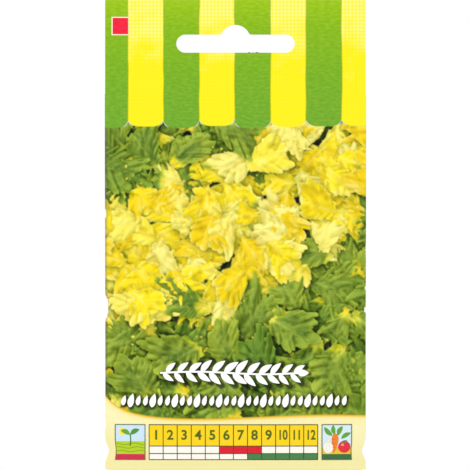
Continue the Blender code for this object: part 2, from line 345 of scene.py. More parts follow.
def blank_columns(front_x, fold_steps, flap_steps, flap_width):
    """Lines up the blank: x in the folded packet, share of the half turn to a flap, place laid flat. Along
    a fold x follows a sine and the share a cosine, so that the paper turns on a round."""
    turn = np.pi * np.linspace(0, 1, fold_steps + 1)[1:]
    flap_x = np.linspace(INNER, HALF - flap_width, flap_steps + 1)[1:]
    x = np.concatenate([INNER + SIDE_FOLD * np.sin(turn), flap_x])
    share = np.concatenate([(1 - np.cos(turn)) / 2, np.ones(flap_steps)])
    laid = INNER + np.concatenate([SIDE_FOLD * turn, np.pi * SIDE_FOLD + INNER - flap_x])
    sides = [(-x[::-1], x), (share[::-1], share), (-laid[::-1], laid)]
    middles = [front_x, 0 * front_x, front_x]
    return [np.concatenate([left, middle, right]) for (left, right), middle in zip(sides, middles)]


def bottom_fold(low, high, steps):
    """Rows round the bottom fold, from share low to high of its half turn: z, share, length round it."""
    turn = np.pi * np.linspace(low, high, steps + 1)
    z = BOTTOM + POCKET_HALF_GAP * (1 - np.sin(turn))
    return [z, (1 - np.cos(turn)) / 2, POCKET_HALF_GAP * turn]


def blank_rows(down, fold, up):
    """Rows across the blank, down the front, round the bottom fold and up the back: z, share of the half
    turn to the back, length round the fold."""
    return [np.concatenate([down, fold[0], up]), np.concatenate([0 * down, fold[1], 0 * up + 1]),
            np.concatenate([0 * down, fold[2], 0 * up])]


def unfolded(x):
    """Places across, those on a side fold's line moved out to the plain edge of the header."""
    return np.where(np.abs(np.abs(x) - INNER) < HAIR, np.sign(x) * HALF, x)


def folded(columns, rows):
    """The blank's middle surface: front, flaps and back as blends of three heights above the X-Z plane."""
    x, to_flap = columns[0][None, :], columns[1][None, :]
    z, to_back = rows[0][:, None], rows[1][:, None]
    low, high = BOTTOM + FLAP_LOW, BOTTOM + FLAP_HIGH
    beside_flap = (z > low - 0.01) & (z < high + 0.01)
    shorten = 1 - 2 * FLAP_CHAMFER * (HALF - np.abs(x)) / FLAP_WIDTH / (high - low)
    z = np.where(to_flap == 1, (low + high) / 2 + (z - (low + high) / 2) * shorten, z + 0 * x)
    x = np.where((to_flap == 0) & ~beside_flap, unfolded(x), x)
    front, back = front_y(x, z), back_y(x, z)
    y = front + (back - PAPER - GLUE_GAP - front) * to_flap + (back - front) * to_back * (to_flap == 0)
    return np.stack([drawn_in(x, z), y, z], axis=-1), beside_flap


def kept_cells(columns, rows, beside_flap):
    """The cells that the die leaves: flaps only beside the pocket, a back narrower than the front."""
    x, to_flap = columns[0], columns[1]
    in_back = np.maximum(rows[1][:-1], rows[1][1:])[:, None] > 0
    in_flap = np.maximum(to_flap[:-1], to_flap[1:])[None, :] > 0
    narrow = (np.maximum(np.abs(x[:-1]), np.abs(x[1:])) < BACK_HALF + HAIR)[None, :]
    flap_rows = (beside_flap[:-1] & beside_flap[1:]).reshape(-1, 1)
    return np.where(in_back, narrow & ~in_flap, ~in_flap | flap_rows)


def slot_outline():
    """Right half of the hang slot, from the bottom's middle to the bump's top: straight bar, half circle,
    then the fillet's and the bump's arcs, which meet where the line between their centres cuts them."""
    cap_x = BAR_LENGTH / 2 - BAR_HEIGHT / 2
    cap_z = BAR_TOP - BAR_HEIGHT / 2
    rise = BAR_TOP + BUMP_FILLET + BUMP_RADIUS
    fillet_x = np.sqrt((BUMP_RADIUS + BUMP_FILLET) ** 2 - rise**2)
    meet = np.arctan2(rise, fillet_x)
    cap = np.linspace(-np.pi / 2, np.pi / 2, 60)
    fillet = np.linspace(1.5 * np.pi, np.pi + meet, 20)
    bump = np.linspace(meet, np.pi / 2, 60)
    x = np.concatenate([[0], cap_x + BAR_HEIGHT / 2 * np.cos(cap),
                        fillet_x + BUMP_FILLET * np.cos(fillet), BUMP_RADIUS * np.cos(bump)])
    z = np.concatenate([[cap_z - BAR_HEIGHT / 2], cap_z + BAR_HEIGHT / 2 * np.sin(cap),
                        BAR_TOP + BUMP_FILLET * (1 + np.sin(fillet)), BUMP_RADIUS * (np.sin(bump) - 1)])
    return x, z


def header_ring(half, edge_x, steps):
    """The header round its slot: straight lines from the slot's outline to the rectangle, both walked
    from the bottom's middle by share of their length. edge_x are the places along the bottom."""
    side = divided(SLOT_CLEAR, 18, TOP)[1:]
    over = np.linspace(half, 0, 60)[1:]
    right = edge_x[edge_x > -HAIR]
    outer_x = np.concatenate([right, np.full(len(side), half), over])
    outer_z = np.concatenate([np.full(len(right), SLOT_CLEAR), side, np.full(len(over), TOP)])
    slot_x, slot_z = slot_outline()

    def share(x, z):
        """Share of the line's length that is walked at each of its points."""
        length = np.concatenate([[0], np.cumsum(np.hypot(np.diff(x), np.diff(z)))])
        return length / length[-1]

    walked, known = share(outer_x, outer_z), share(slot_x, slot_z)
    inner_x, inner_z = np.interp(walked, known, slot_x), np.interp(walked, known, slot_z)

    def whole(x, z):
        """The right half of a line and its mirror image, closed at the bottom's middle."""
        return np.stack([np.concatenate([x, -x[-2:0:-1], x[:1]]), np.concatenate([z, z[-2:0:-1], z[:1]])], -1)

    outward = np.linspace(0, 1, steps + 1)[:, None, None]
    flat = mix(whole(inner_x, inner_z)[None], whole(outer_x, outer_z)[None], outward)
    return np.stack([flat[..., 0], np.full(flat.shape[:2], -HEADER_HALF_GAP), flat[..., 1]], axis=-1)


ABOUT_FACE = np.array([-1.0, -1.0, 1.0])  # half a turn about Z: a front panel's grid seen as the back's


def paper_sheet(finish):
    """The whole blank, folded: a grid for the pocket and a ring round the slot for each header ply, given
    the paper's thickness."""
    front_x = divided(-INNER, 2, -BACK_HALF, 84, BACK_HALF, 2, INNER)
    columns = blank_columns(front_x, 8, 14, FLAP_WIDTH)
    flap_top, flap_end = BOTTOM + FLAP_HIGH, BOTTOM + FLAP_LOW
    down = divided(SLOT_CLEAR, 12, flap_top + FLAP_NOTCH, 1, flap_top, 122,
                   flap_end, 1, flap_end - FLAP_NOTCH, 3, BOTTOM + POCKET_HALF_GAP)
    rows = blank_rows(down[:-1], bottom_fold(0, 1, 8), down[-2::-1])
    points, beside_flap = folded(columns, rows)
    quads = grid_quads(*points.shape[:2], kept_cells(columns, rows, beside_flap))
    front = header_ring(HALF, unfolded(front_x), 10)
    back = header_ring(BACK_HALF, front_x[np.abs(front_x) < BACK_HALF + HAIR], 10) * ABOUT_FACE
    parts = [(points, quads, {})] + [(ring, grid_quads(*ring.shape[:2]), {}) for ring in (front, back)]
    sheet = piece("paper_sheet", parts, finish, ["paper_packet"], joined=True)
    wall = sheet.modifiers.new("thickness", "SOLIDIFY")
    wall.thickness = PAPER * MM
    wall.offset = 0
    graph = bpy.context.evaluated_depsgraph_get()
    solid = bpy.data.meshes.new_from_object(sheet.evaluated_get(graph))
    sheet.modifiers.remove(wall)
    sheet.data = solid
    solid.set_sharp_from_angle(angle=np.radians(50))
    return sheet


# What is printed


def from_seam(across):
    """Distance to the nearest edge between two stripes."""
    return STRIPE / 2 - np.abs((across - FIRST_STRIPE) % STRIPE - STRIPE / 2)


def hem_up(across):
    """Height of the awning's hem: level under each stripe, a quarter ellipse at each stripe's corners."""
    corner = np.clip(1 - from_seam(across) / HEM_CORNER[0], 0, 1)
    stripe = np.clip(np.floor((across - FIRST_STRIPE) / STRIPE + 1), 0, len(HEM_STEPS) - 1).astype(int)
    return HEM_UP + np.array(HEM_STEPS)[stripe] + HEM_CORNER[1] * (1 - np.sqrt(1 - corner**2))


BAND_WAVE, BAND_WAVE_FOOT, BAND_WAVE_LENGTH = 0.55, 24.0, 75.0  # height, lowest place, length
BAND_RISE, BAND_RISE_REACH = 5.5, 5.0  # height at the left fold, and how far across it dies down


def band_up(across):
    """Height of the cream band's upper edge: a long cosine, rising steeply at the left."""
    turn = 2 * np.pi * (across - BAND_WAVE_FOOT) / BAND_WAVE_LENGTH
    return HEIGHT - BAND_DOWN - BAND_WAVE * np.cos(turn) + BAND_RISE * np.exp(-across / BAND_RISE_REACH)


WORN = (  # across, up, half width and half height of each rubbed place on the side folds
    (0.0, 45.0, 0.40, 3.0), (72.2, 50.4, 0.50, 0.50), (72.0, 44.4, 0.75, 0.80), (72.3, 61.0, 0.35, 1.60),
    (-0.1, 71.0, 0.40, 1.20), (-0.1, 13.0, 0.45, 1.30), (72.3, 9.0, 0.45, 1.60), (72.3, 88.0, 0.35, 1.80),
)
PLACE_WEAR = 0.65  # how much of the print is gone at the middle of such a place
FOLD_WEAR, FOLD_WEAR_REACH = 0.36, 0.30  # and all along a fold


def rubbed(across, up):
    """How much the print is rubbed: bells along the side folds and over the worn places on them."""
    fold = np.minimum(np.abs(across), np.abs(2 * HALF - across))
    wear = FOLD_WEAR * np.exp(-((fold / FOLD_WEAR_REACH) ** 2))
    for place, high, half_width, half_height in WORN:
        off = ((across - place) / half_width) ** 2 + ((up - high) / half_height) ** 4
        wear = wear + PLACE_WEAR * np.exp(-off)
    return wear


def print_values(across, up, span, picture=None):
    """What the print's finish reads at each point: its place and its distance from a seam of the awning,
    how far it is inside the awning and the band, how rubbed it is, and the picture's colour there. The
    bake map is the place, shrunk to a unit square; span is the piece's lowest and highest place."""
    place = np.stack([across, up, from_seam(across)], axis=-1)
    edges = np.stack([up - hem_up(across), band_up(across) - up, rubbed(across, up)], axis=-1)
    share_across = (across + BLEED) / (2 * HALF + 2 * BLEED)
    share_up = (up - span[0]) / (span[1] - span[0])
    bake = np.stack([share_across, share_up], axis=-1)
    values = {"print_mm": place, "edges": edges, "OFBake": bake}
    if picture is not None:
        values["picture"] = picture.colour_at(across, up)
    return values


FILM_SPLIT = 54.0  # the front's print is two pieces, which meet at this height


def front_print(finish, picture):
    """The printed face of the front: the folded surface moved out, fine where the picture is."""
    front_x = divided(-INNER, 3, -BACK_HALF, 350, BACK_HALF, 3, INNER)
    columns = blank_columns(front_x, 8, 3, BLEED - 0.6)
    flap_top, flap_end = BOTTOM + FLAP_HIGH, BOTTOM + FLAP_LOW
    down = divided(SLOT_CLEAR, 10, flap_top + FLAP_NOTCH, 1, flap_top, 6, BOTTOM + PICTURE_HIGH, 220,
                   BOTTOM + FILM_SPLIT, 203, BOTTOM + PICTURE_LOW, 34, flap_end, 1, flap_end - FLAP_NOTCH, 3,
                   BOTTOM + POCKET_HALF_GAP)
    rows = blank_rows(down[:-1], bottom_fold(0, 0.5, 4), down[:0])
    middle, beside_flap = folded(columns, rows)
    points = middle + grid_normals(middle) * (PAPER / 2 + INK_FILM)
    keep = kept_cells(columns, rows, beside_flap)
    laid_up = np.where(rows[2] > 0, POCKET_HALF_GAP - rows[2], rows[0] - BOTTOM)
    across, up = np.broadcast_arrays(columns[2][None, :] + HALF, laid_up[:, None])
    split = int(np.argmin(np.abs(rows[0] - BOTTOM - FILM_SPLIT)))
    ring = header_ring(HALF, unfolded(front_x), 8)
    ring[..., 1] -= PAPER / 2 + INK_FILM
    last = len(rows[0]) - 1
    for name, start, end in (("front_print_upper", 0, split), ("front_print_lower", split, last)):
        span = (laid_up[end], HEIGHT if start == 0 else laid_up[start])
        some = slice(start, end + 1)
        parts = [(points[some], grid_quads(*points[some].shape[:2], keep[start:end]),
                  print_values(across[some], up[some], span, picture))]
        if start == 0:
            place = ring[..., 0] + HALF, ring[..., 2] - BOTTOM
            parts.append((ring, grid_quads(*ring.shape[:2]), print_values(*place, span, picture)))
        piece(name, parts, finish, joined=True)


def back_print(finish):
    """The printed face of the back panel, from the middle of the bottom fold to the header's top."""
    back_x = divided(-BACK_HALF, 150, BACK_HALF)
    up_back = divided(BOTTOM + POCKET_HALF_GAP, 4, BOTTOM + FLAP_LOW, 244, SLOT_CLEAR)
    rows = [row[::-1] for row in blank_rows(up_back[:0], bottom_fold(0.5, 1, 4), up_back[1:])]
    middle, _ = folded([back_x[::-1], 0 * back_x, -back_x[::-1]], rows)
    points = middle + grid_normals(middle) * (PAPER / 2 + INK_FILM)
    half_turn = np.pi * POCKET_HALF_GAP
    laid_up = np.where(rows[2] > 0, POCKET_HALF_GAP - half_turn + rows[2], rows[0] - BOTTOM)
    across, up = np.broadcast_arrays(HALF - back_x[::-1][None, :], laid_up[:, None])
    span = (laid_up.min(), HEIGHT)
    ring = header_ring(BACK_HALF, back_x, 8)
    ring[..., 1] -= PAPER / 2 + INK_FILM
    parts = [(points, grid_quads(*points.shape[:2]), print_values(across, up, span)),
             (ring * ABOUT_FACE, grid_quads(*ring.shape[:2]),
              print_values(ring[..., 0] + HALF, ring[..., 2] - BOTTOM, span))]
    return piece("back_print", parts, finish, joined=True)


# The printed picture: loose salad leaves over a bed, worked out as surfaces and drawn from above


class Picture:
    """A flat picture with a height for each dot, so that what is drawn higher hides what is lower."""

    DOT = 0.14
    LAMP = np.array([-0.45, 0.50, 0.80])
    HOLLOWS = ((0.5, 0.34), (1.8, 0.30), (5.0, 0.18))  # width and weight of each size of hollow
    REACHES = (0.4, 0.8, 1.3, 1.9, 2.6, 3.5)  # how far a shadow is looked for

    # Dots along a cell's side, for cells from one size up to another, counted in dots
    FILLS = ((1, 0, 0.9), (2, 0.9, 1.8), (3, 1.8, 2.8), (5, 2.8, 4.8), (9, 4.8, 9), (14, 9, 16))

    def __init__(self, low, high):
        self.low = np.array(low, float)
        self.columns, self.rows = (int(round(size / self.DOT)) for size in np.array(high) - low)
        self.height = np.full(self.columns * self.rows, -1e3, np.float32)
        self.inks = np.zeros((self.columns * self.rows, 6), np.float32)  # colour, then normal

    def draw(self, points, colour):
        """Draws a surface given as a grid of (across, up, height) and a colour for each of its points:
        each cell is filled with dots blended from its corners, as many as its size needs."""
        normal = np.cross(np.gradient(points, axis=0), np.gradient(points, axis=1))
        normal /= np.linalg.norm(normal, axis=2, keepdims=True) + 1e-12
        place = (points[..., :2] - self.low) / self.DOT
        data = np.concatenate([place, points[..., 2:], colour, normal], axis=2).astype(np.float32)
        corners = [data[:-1, :-1], data[1:, :-1], data[:-1, 1:], data[1:, 1:]]
        cells = np.stack(corners, axis=2).reshape(-1, 4, 9)
        low, high = cells[:, :, :2].min(1), cells[:, :, :2].max(1)
        seen = (high > 0).all(1) & (low < (self.columns, self.rows)).all(1)
        cells, size = cells[seen], (high - low)[seen].max(1)
        for fine, small, large in self.FILLS:
            some = cells[(size >= small) & (size < large)]
            step = (np.arange(fine) + 0.5) / fine
            a, b = (s.ravel() for s in np.meshgrid(step, step))
            share = np.stack([(1 - a) * (1 - b), a * (1 - b), (1 - a) * b, a * b]).astype(np.float32)
            dots = np.einsum("qcd,cw->qwd", some, share).reshape(-1, 9)
            column, row = (np.floor(dots[:, i]).astype(np.int32) for i in (0, 1))
            inside = (column >= 0) & (column < self.columns) & (row >= 0) & (row < self.rows)
            dots, at = dots[inside], (row * self.columns + column)[inside]
            near = dots[:, 2] > self.height[at]
            dots, at = dots[near], at[near]
            np.maximum.at(self.height, at, dots[:, 2])
            top = dots[:, 2] >= self.height[at]
            self.inks[at[top]] = dots[top, 3:]

    def light_up(self):
        """Lights what was drawn: a lamp from the upper left, shade in hollows and the shadows cast, all
        deeper on the dark leaves than on the pale ones, which let light through."""
        height = self.height.reshape(self.rows, self.columns).astype(float)
        colour = self.inks[:, :3].reshape(self.rows, self.columns, 3).astype(float)
        normal = self.inks[:, 3:].reshape(self.rows, self.columns, 3).astype(float)
        normal /= np.linalg.norm(normal, axis=2, keepdims=True) + 1e-9
        facing = np.abs((normal * self.LAMP / np.linalg.norm(self.LAMP)).sum(2))
        hollow, shadow = np.zeros_like(height), np.zeros_like(height)
        for width, weight in self.HOLLOWS:
            hollow += np.clip(blur(height, width / self.DOT) - height, 0, 3 * width) * weight / width
        for far in self.REACHES:
            right, down = (int(round(far * share / self.DOT)) for share in (0.6, 0.75))
            caster = np.roll(height, (-down, right), axis=(0, 1))
            shadow = np.maximum(shadow, smoothstep(0, 1.5, caster - height - 0.9 * far) * (1 - far / 8))
        dark = 0.95 * hollow + 0.38 * blur(shadow, 0.2 / self.DOT) + 0.58 * (1 - facing) - 0.17
        dark *= mix(2.1, 0.72, smoothstep(0.16, 0.62, colour @ (0.3, 0.6, 0.1)))
        lit = colour * np.exp(-dark[..., None] * np.array([1.0, 0.86, 1.6]))
        self.colour = np.stack([blur(lit[..., i], 0.09 / self.DOT) for i in range(3)], axis=-1)

    def colour_at(self, across, up):
        """The colour at each place, blended from the four nearest dots."""
        x = np.clip((across - self.low[0]) / self.DOT - 0.5, 0, self.columns - 1.001)
        y = np.clip((up - self.low[1]) / self.DOT - 0.5, 0, self.rows - 1.001)
        i, j = np.floor(x).astype(int), np.floor(y).astype(int)
        a, b = (x - i)[..., None], (y - j)[..., None]
        c = self.colour
        return mix(mix(c[j, i], c[j, i + 1], a), mix(c[j + 1, i], c[j + 1, i + 1], a), b)


class Noise:
    """A square of smooth noise that repeats: random numbers under a Gaussian bell."""

    CELLS = 640
    CELL = 0.125

    def __init__(self, seed, grain):
        field = np.random.default_rng(seed).standard_normal((self.CELLS, self.CELLS))
        field = under_bell(field, grain / self.CELL)
        self.field = field / field.std()

    def at(self, along, aside):
        """The noise at each place, blended from the four nearest cells."""
        a, b = along / self.CELL, aside / self.CELL
        i, j = np.floor(a).astype(int), np.floor(b).astype(int)
        near, far = (i % self.CELLS, (i + 1) % self.CELLS), (j % self.CELLS, (j + 1) % self.CELLS)
        f = self.field
        return mix(mix(f[near[0], far[0]], f[near[1], far[0]], a - i),
                   mix(f[near[0], far[1]], f[near[1], far[1]], a - i), b - j)


BUMPS, PIMPLES, FURROWS = Noise(1, 0.75), Noise(2, 0.34), Noise(3, 0.55)  # seed, size of the grain
RUFFLES = (9.5, 3.2, 1.5, 0.8)  # wavelengths along a leaf's margin


def leaf_margin(length, wide):
    """A leaf's outline in even steps from its left foot over its tip to its right foot: its length less a
    power of the fan's turn, and its width times a power of a sine of it. Gives the length walked, the
    fan's turn from -1 to 1, and the places along and aside, each as a column."""
    fan = np.linspace(-1, 1, 801)
    along = length * (1 - np.abs(fan) ** 1.6)
    aside = wide * np.sign(fan) * np.abs(np.sin(np.pi * np.abs(fan) ** 0.8)) ** 0.8
    walked = np.concatenate([[0], np.cumsum(np.hypot(np.diff(along), np.diff(aside)))])
    even = np.linspace(0, walked[-1], int(np.clip(walked[-1] / 0.28, 60, 500)))
    return [np.interp(even, walked, values)[:, None] for values in (walked, fan, along, aside)]


def leaf_colour(draw, length, green, out, fan, rib, bumps, creases):
    """A leaf's colours, from its own draws: yellow, or green with a deeper middle, pale rib, veins and rim,
    and where it is yellow gold in the creases and lemon on the bumps."""
    golden = draw.uniform() < 0.65
    hearts = ("#ECCA00", "#FCE61A") if golden else ("#F9E73C", "#F6EC84")
    heart = between(*hearts, draw.uniform())
    blade = between("#6A8E2A", "#A2B43A", draw.uniform())
    deep = between("#365E22", "#62802A", draw.uniform())
    outer = smoothstep(0.35, 1.0, green)
    middle = np.clip(smoothstep(0, 0.95, 1 - out) * (0.55 + 0.25 * bumps), 0, 1)[..., None]
    colour = mix(heart, linear("#CBD42A"), smoothstep(0, 0.5, green))
    colour = mix(colour, mix(blade, deep, middle), outer)
    veins = np.clip(np.cos(2 * np.pi * 8 * fan + draw.uniform(0, 6.28) + 0.3 * bumps), 0, 1) ** 6
    pale = 0.5 * np.clip(rib + 0.6 * veins * (1 - out) ** 0.7, 0, 1)[..., None]
    colour = mix(colour, between("#FFF57C", "#B4CC50", outer), pale)
    rim = 0.5 * (smoothstep(1 - 1.3 / length, 1, out) + 0 * fan)[..., None]
    colour = mix(colour, between("#FFF690", "#B2CC44", outer), rim)
    gold = 0.45 * smoothstep(0.1, 1.1, -bumps - 0.5 * creases)[..., None] * (1 - outer)
    lemon = 0.38 * smoothstep(0.4, 1.6, bumps + 0.3 * creases)[..., None] * (1 - outer)
    return mix(mix(colour, linear("#CCAC04"), gold), linear("#FFF690"), lemon)


def salad_leaf(picture, draw, foot, angle, length, yellow, low):
    """One leaf, yellow up to a share of its length: straight lines fan out from its rib to its margin, and
    the rib is an arc. The margin waves in four sizes, outwards as rounded lobes that overlap and up and
    down as ruffles that grow towards it. Noise drawn out along the blade crumples it."""
    wide = 0.36 * length * draw.uniform(0.85, 1.2)
    walked, fan, margin_along, margin_aside = leaf_margin(length, wide)
    out = np.linspace(0, 1, int(np.clip(1.5 * length, 20, 56)))[None, :] ** 0.85
    turns, waves = [], [0.0]
    for wavelength, start, size in zip(RUFFLES, draw.uniform(0, 6.28, 4), draw.uniform(0.85, 1.2, 4)):
        turns.append(2 * np.pi * walked / (wavelength * size) + start + 1.3 * waves[-1])
        waves.append(np.sin(turns[-1]))
    small = np.clip(length / 18, 0.6, 1)
    lobes = [2 * np.abs(np.sin(turn / 2 + 0.7)) - 1.27 for turn in turns[1:3]]
    spread = 1 + small * (0.9 * waves[1] + 1.00 * lobes[0] + 0.50 * lobes[1] + 0.14 * waves[4]) / length
    along = mix(0.80 * length * (1 - np.abs(fan) ** 1.1), margin_along * spread, out)
    aside = margin_aside * spread * out
    part = np.clip(along / length, 0, 1.3)
    steep = np.radians(draw.uniform(8, 55))
    bend = np.radians(draw.uniform(60, 110))
    slope = steep - bend * part
    run = length * (np.sin(steep) - np.sin(slope)) / bend
    rise = length * (np.cos(slope) - np.cos(steep)) / bend
    shift = draw.uniform(0, 70, 2)
    crumple = 0.6 * along + shift[0], aside * (1.25 - 0.4 * out) + shift[1]
    bumps = 0.62 * BUMPS.at(*crumple) + 0.30 * PIMPLES.at(*crumple)
    creases = 0.8 - np.abs(FURROWS.at(0.7 * along + shift[0], aside + shift[1]))
    ruffle = 1.30 * waves[2] * out**2 + 0.68 * waves[3] * out**2.6 + 0.18 * waves[4] * out**4
    crumpled = (0.48 * bumps + 0.38 * creases) * smoothstep(0, 0.25, out)
    lift = 0.12 * wide * waves[1] * out**1.6 + small * (ruffle + crumpled)
    slide = -small * (0.66 * np.cos(turns[1]) * out**2.2 + 0.30 * np.cos(turns[2]) * out**3)
    aside = aside + slide * np.cos(np.pi * fan / 2) - draw.uniform(-0.3, 0.3) * length * part**2
    run = run + slide * np.sin(np.pi * fan / 2) * np.cos(slope) - lift * np.sin(slope)
    rise = rise + lift * np.cos(slope)
    x = foot[0] + run * np.cos(angle) - aside * np.sin(angle)
    y = foot[1] + run * np.sin(angle) + aside * np.cos(angle)
    far = part + draw.uniform(-0.1, 0.1) + 0.05 * (waves[2] * out + bumps)
    green = smoothstep(yellow - 0.12, yellow + 0.16, far)[..., None]
    rib = np.exp(-((aside / wide / 0.06) ** 2)) * (1 - 0.6 * part)
    colour = leaf_colour(draw, length, green, out, fan, rib, bumps, creases)
    picture.draw(np.stack([x, y, low + rise], axis=2), colour)


def soil(picture):
    """The bed under the leaves: crumbs as a sum of noises, on red-brown earth."""
    across, up = np.meshgrid(np.arange(-BLEED - 1, 2 * HALF + BLEED + 1, 0.3),
                             np.arange(PICTURE_LOW - 1, PICTURE_HIGH + 1, 0.3))
    crumbs = 0.6 * BUMPS.at(across, up) + 0.5 * PIMPLES.at(across, up)
    colour = between("#4E2C1A", "#A0643C", np.clip(0.5 + 0.4 * crumbs, 0, 1)[..., None])
    picture.draw(np.stack([across, up, -3 + 0.8 * crumbs], axis=2), colour)


LEAF_STEP = 4.5  # between the feet of neighbouring leaves
DRIFT_UP, DRIFT_RISE, DRIFT_REACH = 70.0, 0.42, 19.0  # the yellow leaves' band: middle, slope, half width


def painted_picture():
    """Loose leaves strewn over a bed: their feet on a staggered lattice, shifted at random, each leaf turned
    any way. Those in a slanting band are yellow and smaller, those beside it green."""
    picture = Picture((-BLEED, PICTURE_LOW - 0.4), (2 * HALF + BLEED, PICTURE_HIGH + 0.4))
    soil(picture)
    draw = np.random.default_rng(24)
    for row, up in enumerate(np.arange(PICTURE_LOW - 6, PICTURE_HIGH + 8, 0.87 * LEAF_STEP)):
        for across in np.arange(-8 + LEAF_STEP / 2 * (row % 2), 2 * HALF + 9, LEAF_STEP):
            foot = np.array([across, up]) + draw.uniform(-0.5, 0.5, 2) * LEAF_STEP
            off = (foot[1] - DRIFT_UP - DRIFT_RISE * (foot[0] - HALF)) / DRIFT_REACH
            band = 1 - smoothstep(0.65, 1.25, abs(off + draw.uniform(-0.35, 0.35)))
            yellow = mix(draw.uniform(-0.1, 0.3), 1.5, band)
            length = mix(draw.uniform(11, 18), draw.uniform(9, 14), band)
            angle, low = draw.uniform(0, 2 * np.pi), draw.uniform(0, 3) + 2 * band
            salad_leaf(picture, draw, foot, angle, length, yellow, low)
    picture.light_up()
    return picture


# Inks printed over the rest, each a thin patch laid on the panel

FRONT, BACK = -1, 1  # the side that a patch is on


def panel_middle(side, across, up):
    """The paper's middle surface at a place on a panel's print."""
    x = (HALF - across) * side
    z = up + BOTTOM
    y = front_y(x, z) if side == FRONT else back_y(x, z)
    return np.stack([drawn_in(x, z), y, z], axis=-1)


def on_panel(side, across, up, layer):
    """Points lifted off the panel, along its normal, to an ink's layer."""
    across, up = np.broadcast_arrays(np.asarray(across, float), np.asarray(up, float))
    step = 0.05
    place = panel_middle(side, across, up)
    right = panel_middle(side, across + step, up) - place
    above = panel_middle(side, across, up + step) - place
    normal = np.cross(right, above)
    normal /= np.linalg.norm(normal, axis=-1, keepdims=True)
    return place + normal * (PAPER / 2 + INK_FILM + layer * INK_LAYER)


def ink_part(side, across, up, layer, hex_colour):
    """A grid of places on the print, rows going down, as a patch of one ink."""
    points = on_panel(side, across, up, layer)
    return points, grid_quads(*points.shape[:2]), {"ink": np.broadcast_to(linear(hex_colour), points.shape)}


def block(side, left, low, right, high, layer, hex_colour):
    """A plain rectangle."""
    columns = np.linspace(left, right, max(int((right - left) / INK_CELL), 1) + 1)
    rows = np.linspace(high, low, max(int((high - low) / INK_CELL), 1) + 1)
    return ink_part(side, columns[None, :], rows[:, None], layer, hex_colour)


def spot(side, across, up, half_width, half_height, layer, hex_colour):
    """An ellipse: a square grid pressed into a disc, each side shortened by the other's square."""
    a, b = np.linspace(-1, 1, 13)[None, :], np.linspace(1, -1, 13)[:, None]
    x = half_width * a * np.sqrt(1 - b**2 / 2)
    y = half_height * b * np.sqrt(1 - a**2 / 2)
    return ink_part(side, across + x, up + y, layer, hex_colour)


def leaf_mark(side, start, end, width, layer, hex_colour, bend=0.0, blunt=1.0):
    """A leaf or drop: its width a power of a sine along it, its middle line bent to an arc."""
    start, end = np.array(start, float), np.array(end, float)
    along = end - start
    aside = np.array([-along[1], along[0]]) / np.hypot(*along)
    u = np.linspace(0.004, 0.996, 17)[None, :]
    v = np.linspace(1, -1, 5)[:, None]
    out = v * width / 2 * np.sin(np.pi * u**blunt) ** 0.8 + bend * np.sin(np.pi * u)
    place = start + along * u[..., None] + aside * out[..., None]
    return ink_part(side, place[..., 0], place[..., 1], layer, hex_colour)


def stroke(side, across, up, width, layer, hex_colour):
    """A line of even width along points, its edges set square to it."""
    line = np.stack([across, up], axis=-1)
    along = np.gradient(line, axis=0)
    along /= np.linalg.norm(along, axis=1, keepdims=True)
    aside = np.stack([-along[:, 1], along[:, 0]], axis=-1) * width / 2
    rows = np.stack([line + aside, line - aside])
    return ink_part(side, rows[..., 0], rows[..., 1], layer, hex_colour)


DIGIT_HEIGHT = 0.70  # of a digit, as a share of the letter form's size
DIGIT_WEIGHT = 0.08  # how far a digit's outline is moved out
TWO_DIGITS = 0.74  # share of their width that two digits keep


def numeral(side, number, across, up, height, layer, hex_colour):
    """A number: Blender's own letter form as a flat mesh, two digits set narrower, laid on a panel."""
    curve = bpy.data.curves.new("numeral", "FONT")
    curve.body = str(number)
    curve.size = height / DIGIT_HEIGHT
    curve.offset = DIGIT_WEIGHT
    curve.align_x, curve.align_y = "CENTER", "CENTER"
    holder = placed("numeral", curve)
    graph = bpy.context.evaluated_depsgraph_get()
    mesh = bpy.data.meshes.new_from_object(holder.evaluated_get(graph))
    bpy.data.objects.remove(holder)
    mesh.calc_loop_triangles()
    flat = np.zeros(len(mesh.vertices) * 3, np.float32)
    mesh.vertices.foreach_get("co", flat)
    corners = np.zeros(len(mesh.loop_triangles) * 3, np.int32)
    mesh.loop_triangles.foreach_get("vertices", corners)
    flat, triangles = flat.reshape(-1, 3).astype(float), corners.reshape(-1, 3)
    a, b, c = (flat[triangles[:, i], :2] for i in range(3))
    clockwise = np.cross(b - a, c - a) < 0
    triangles[clockwise] = triangles[clockwise][:, ::-1]
    narrow = 1.0 if number < 10 else TWO_DIGITS
    points = on_panel(side, across + narrow * flat[:, 0], up + flat[:, 1], layer)
    bpy.data.meshes.remove(mesh)
    return points, triangles, {"ink": np.broadcast_to(linear(hex_colour), points.shape)}


CALENDAR = (12.17, 3.04, 58.68, 12.72)  # left, low, right, high
MONTH_ROW_LOW = 6.81
SOWING_ROW_LOW = 4.73
SOWING = range(5, 8)  # months, counted from 0
PICKING = range(7, 12)
GOLD, RED, GREEN, BROWN = "#F9D400", "#DC0028", "#3E8048", "#4A4016"
WHITE, CREAM, SKY, SPRIG, SIGN_FRAME = "#FFFFFF", "#FAF7EE", "#D6E9F6", "#5DA32F", "#5A6A48"
LINE = 0.23


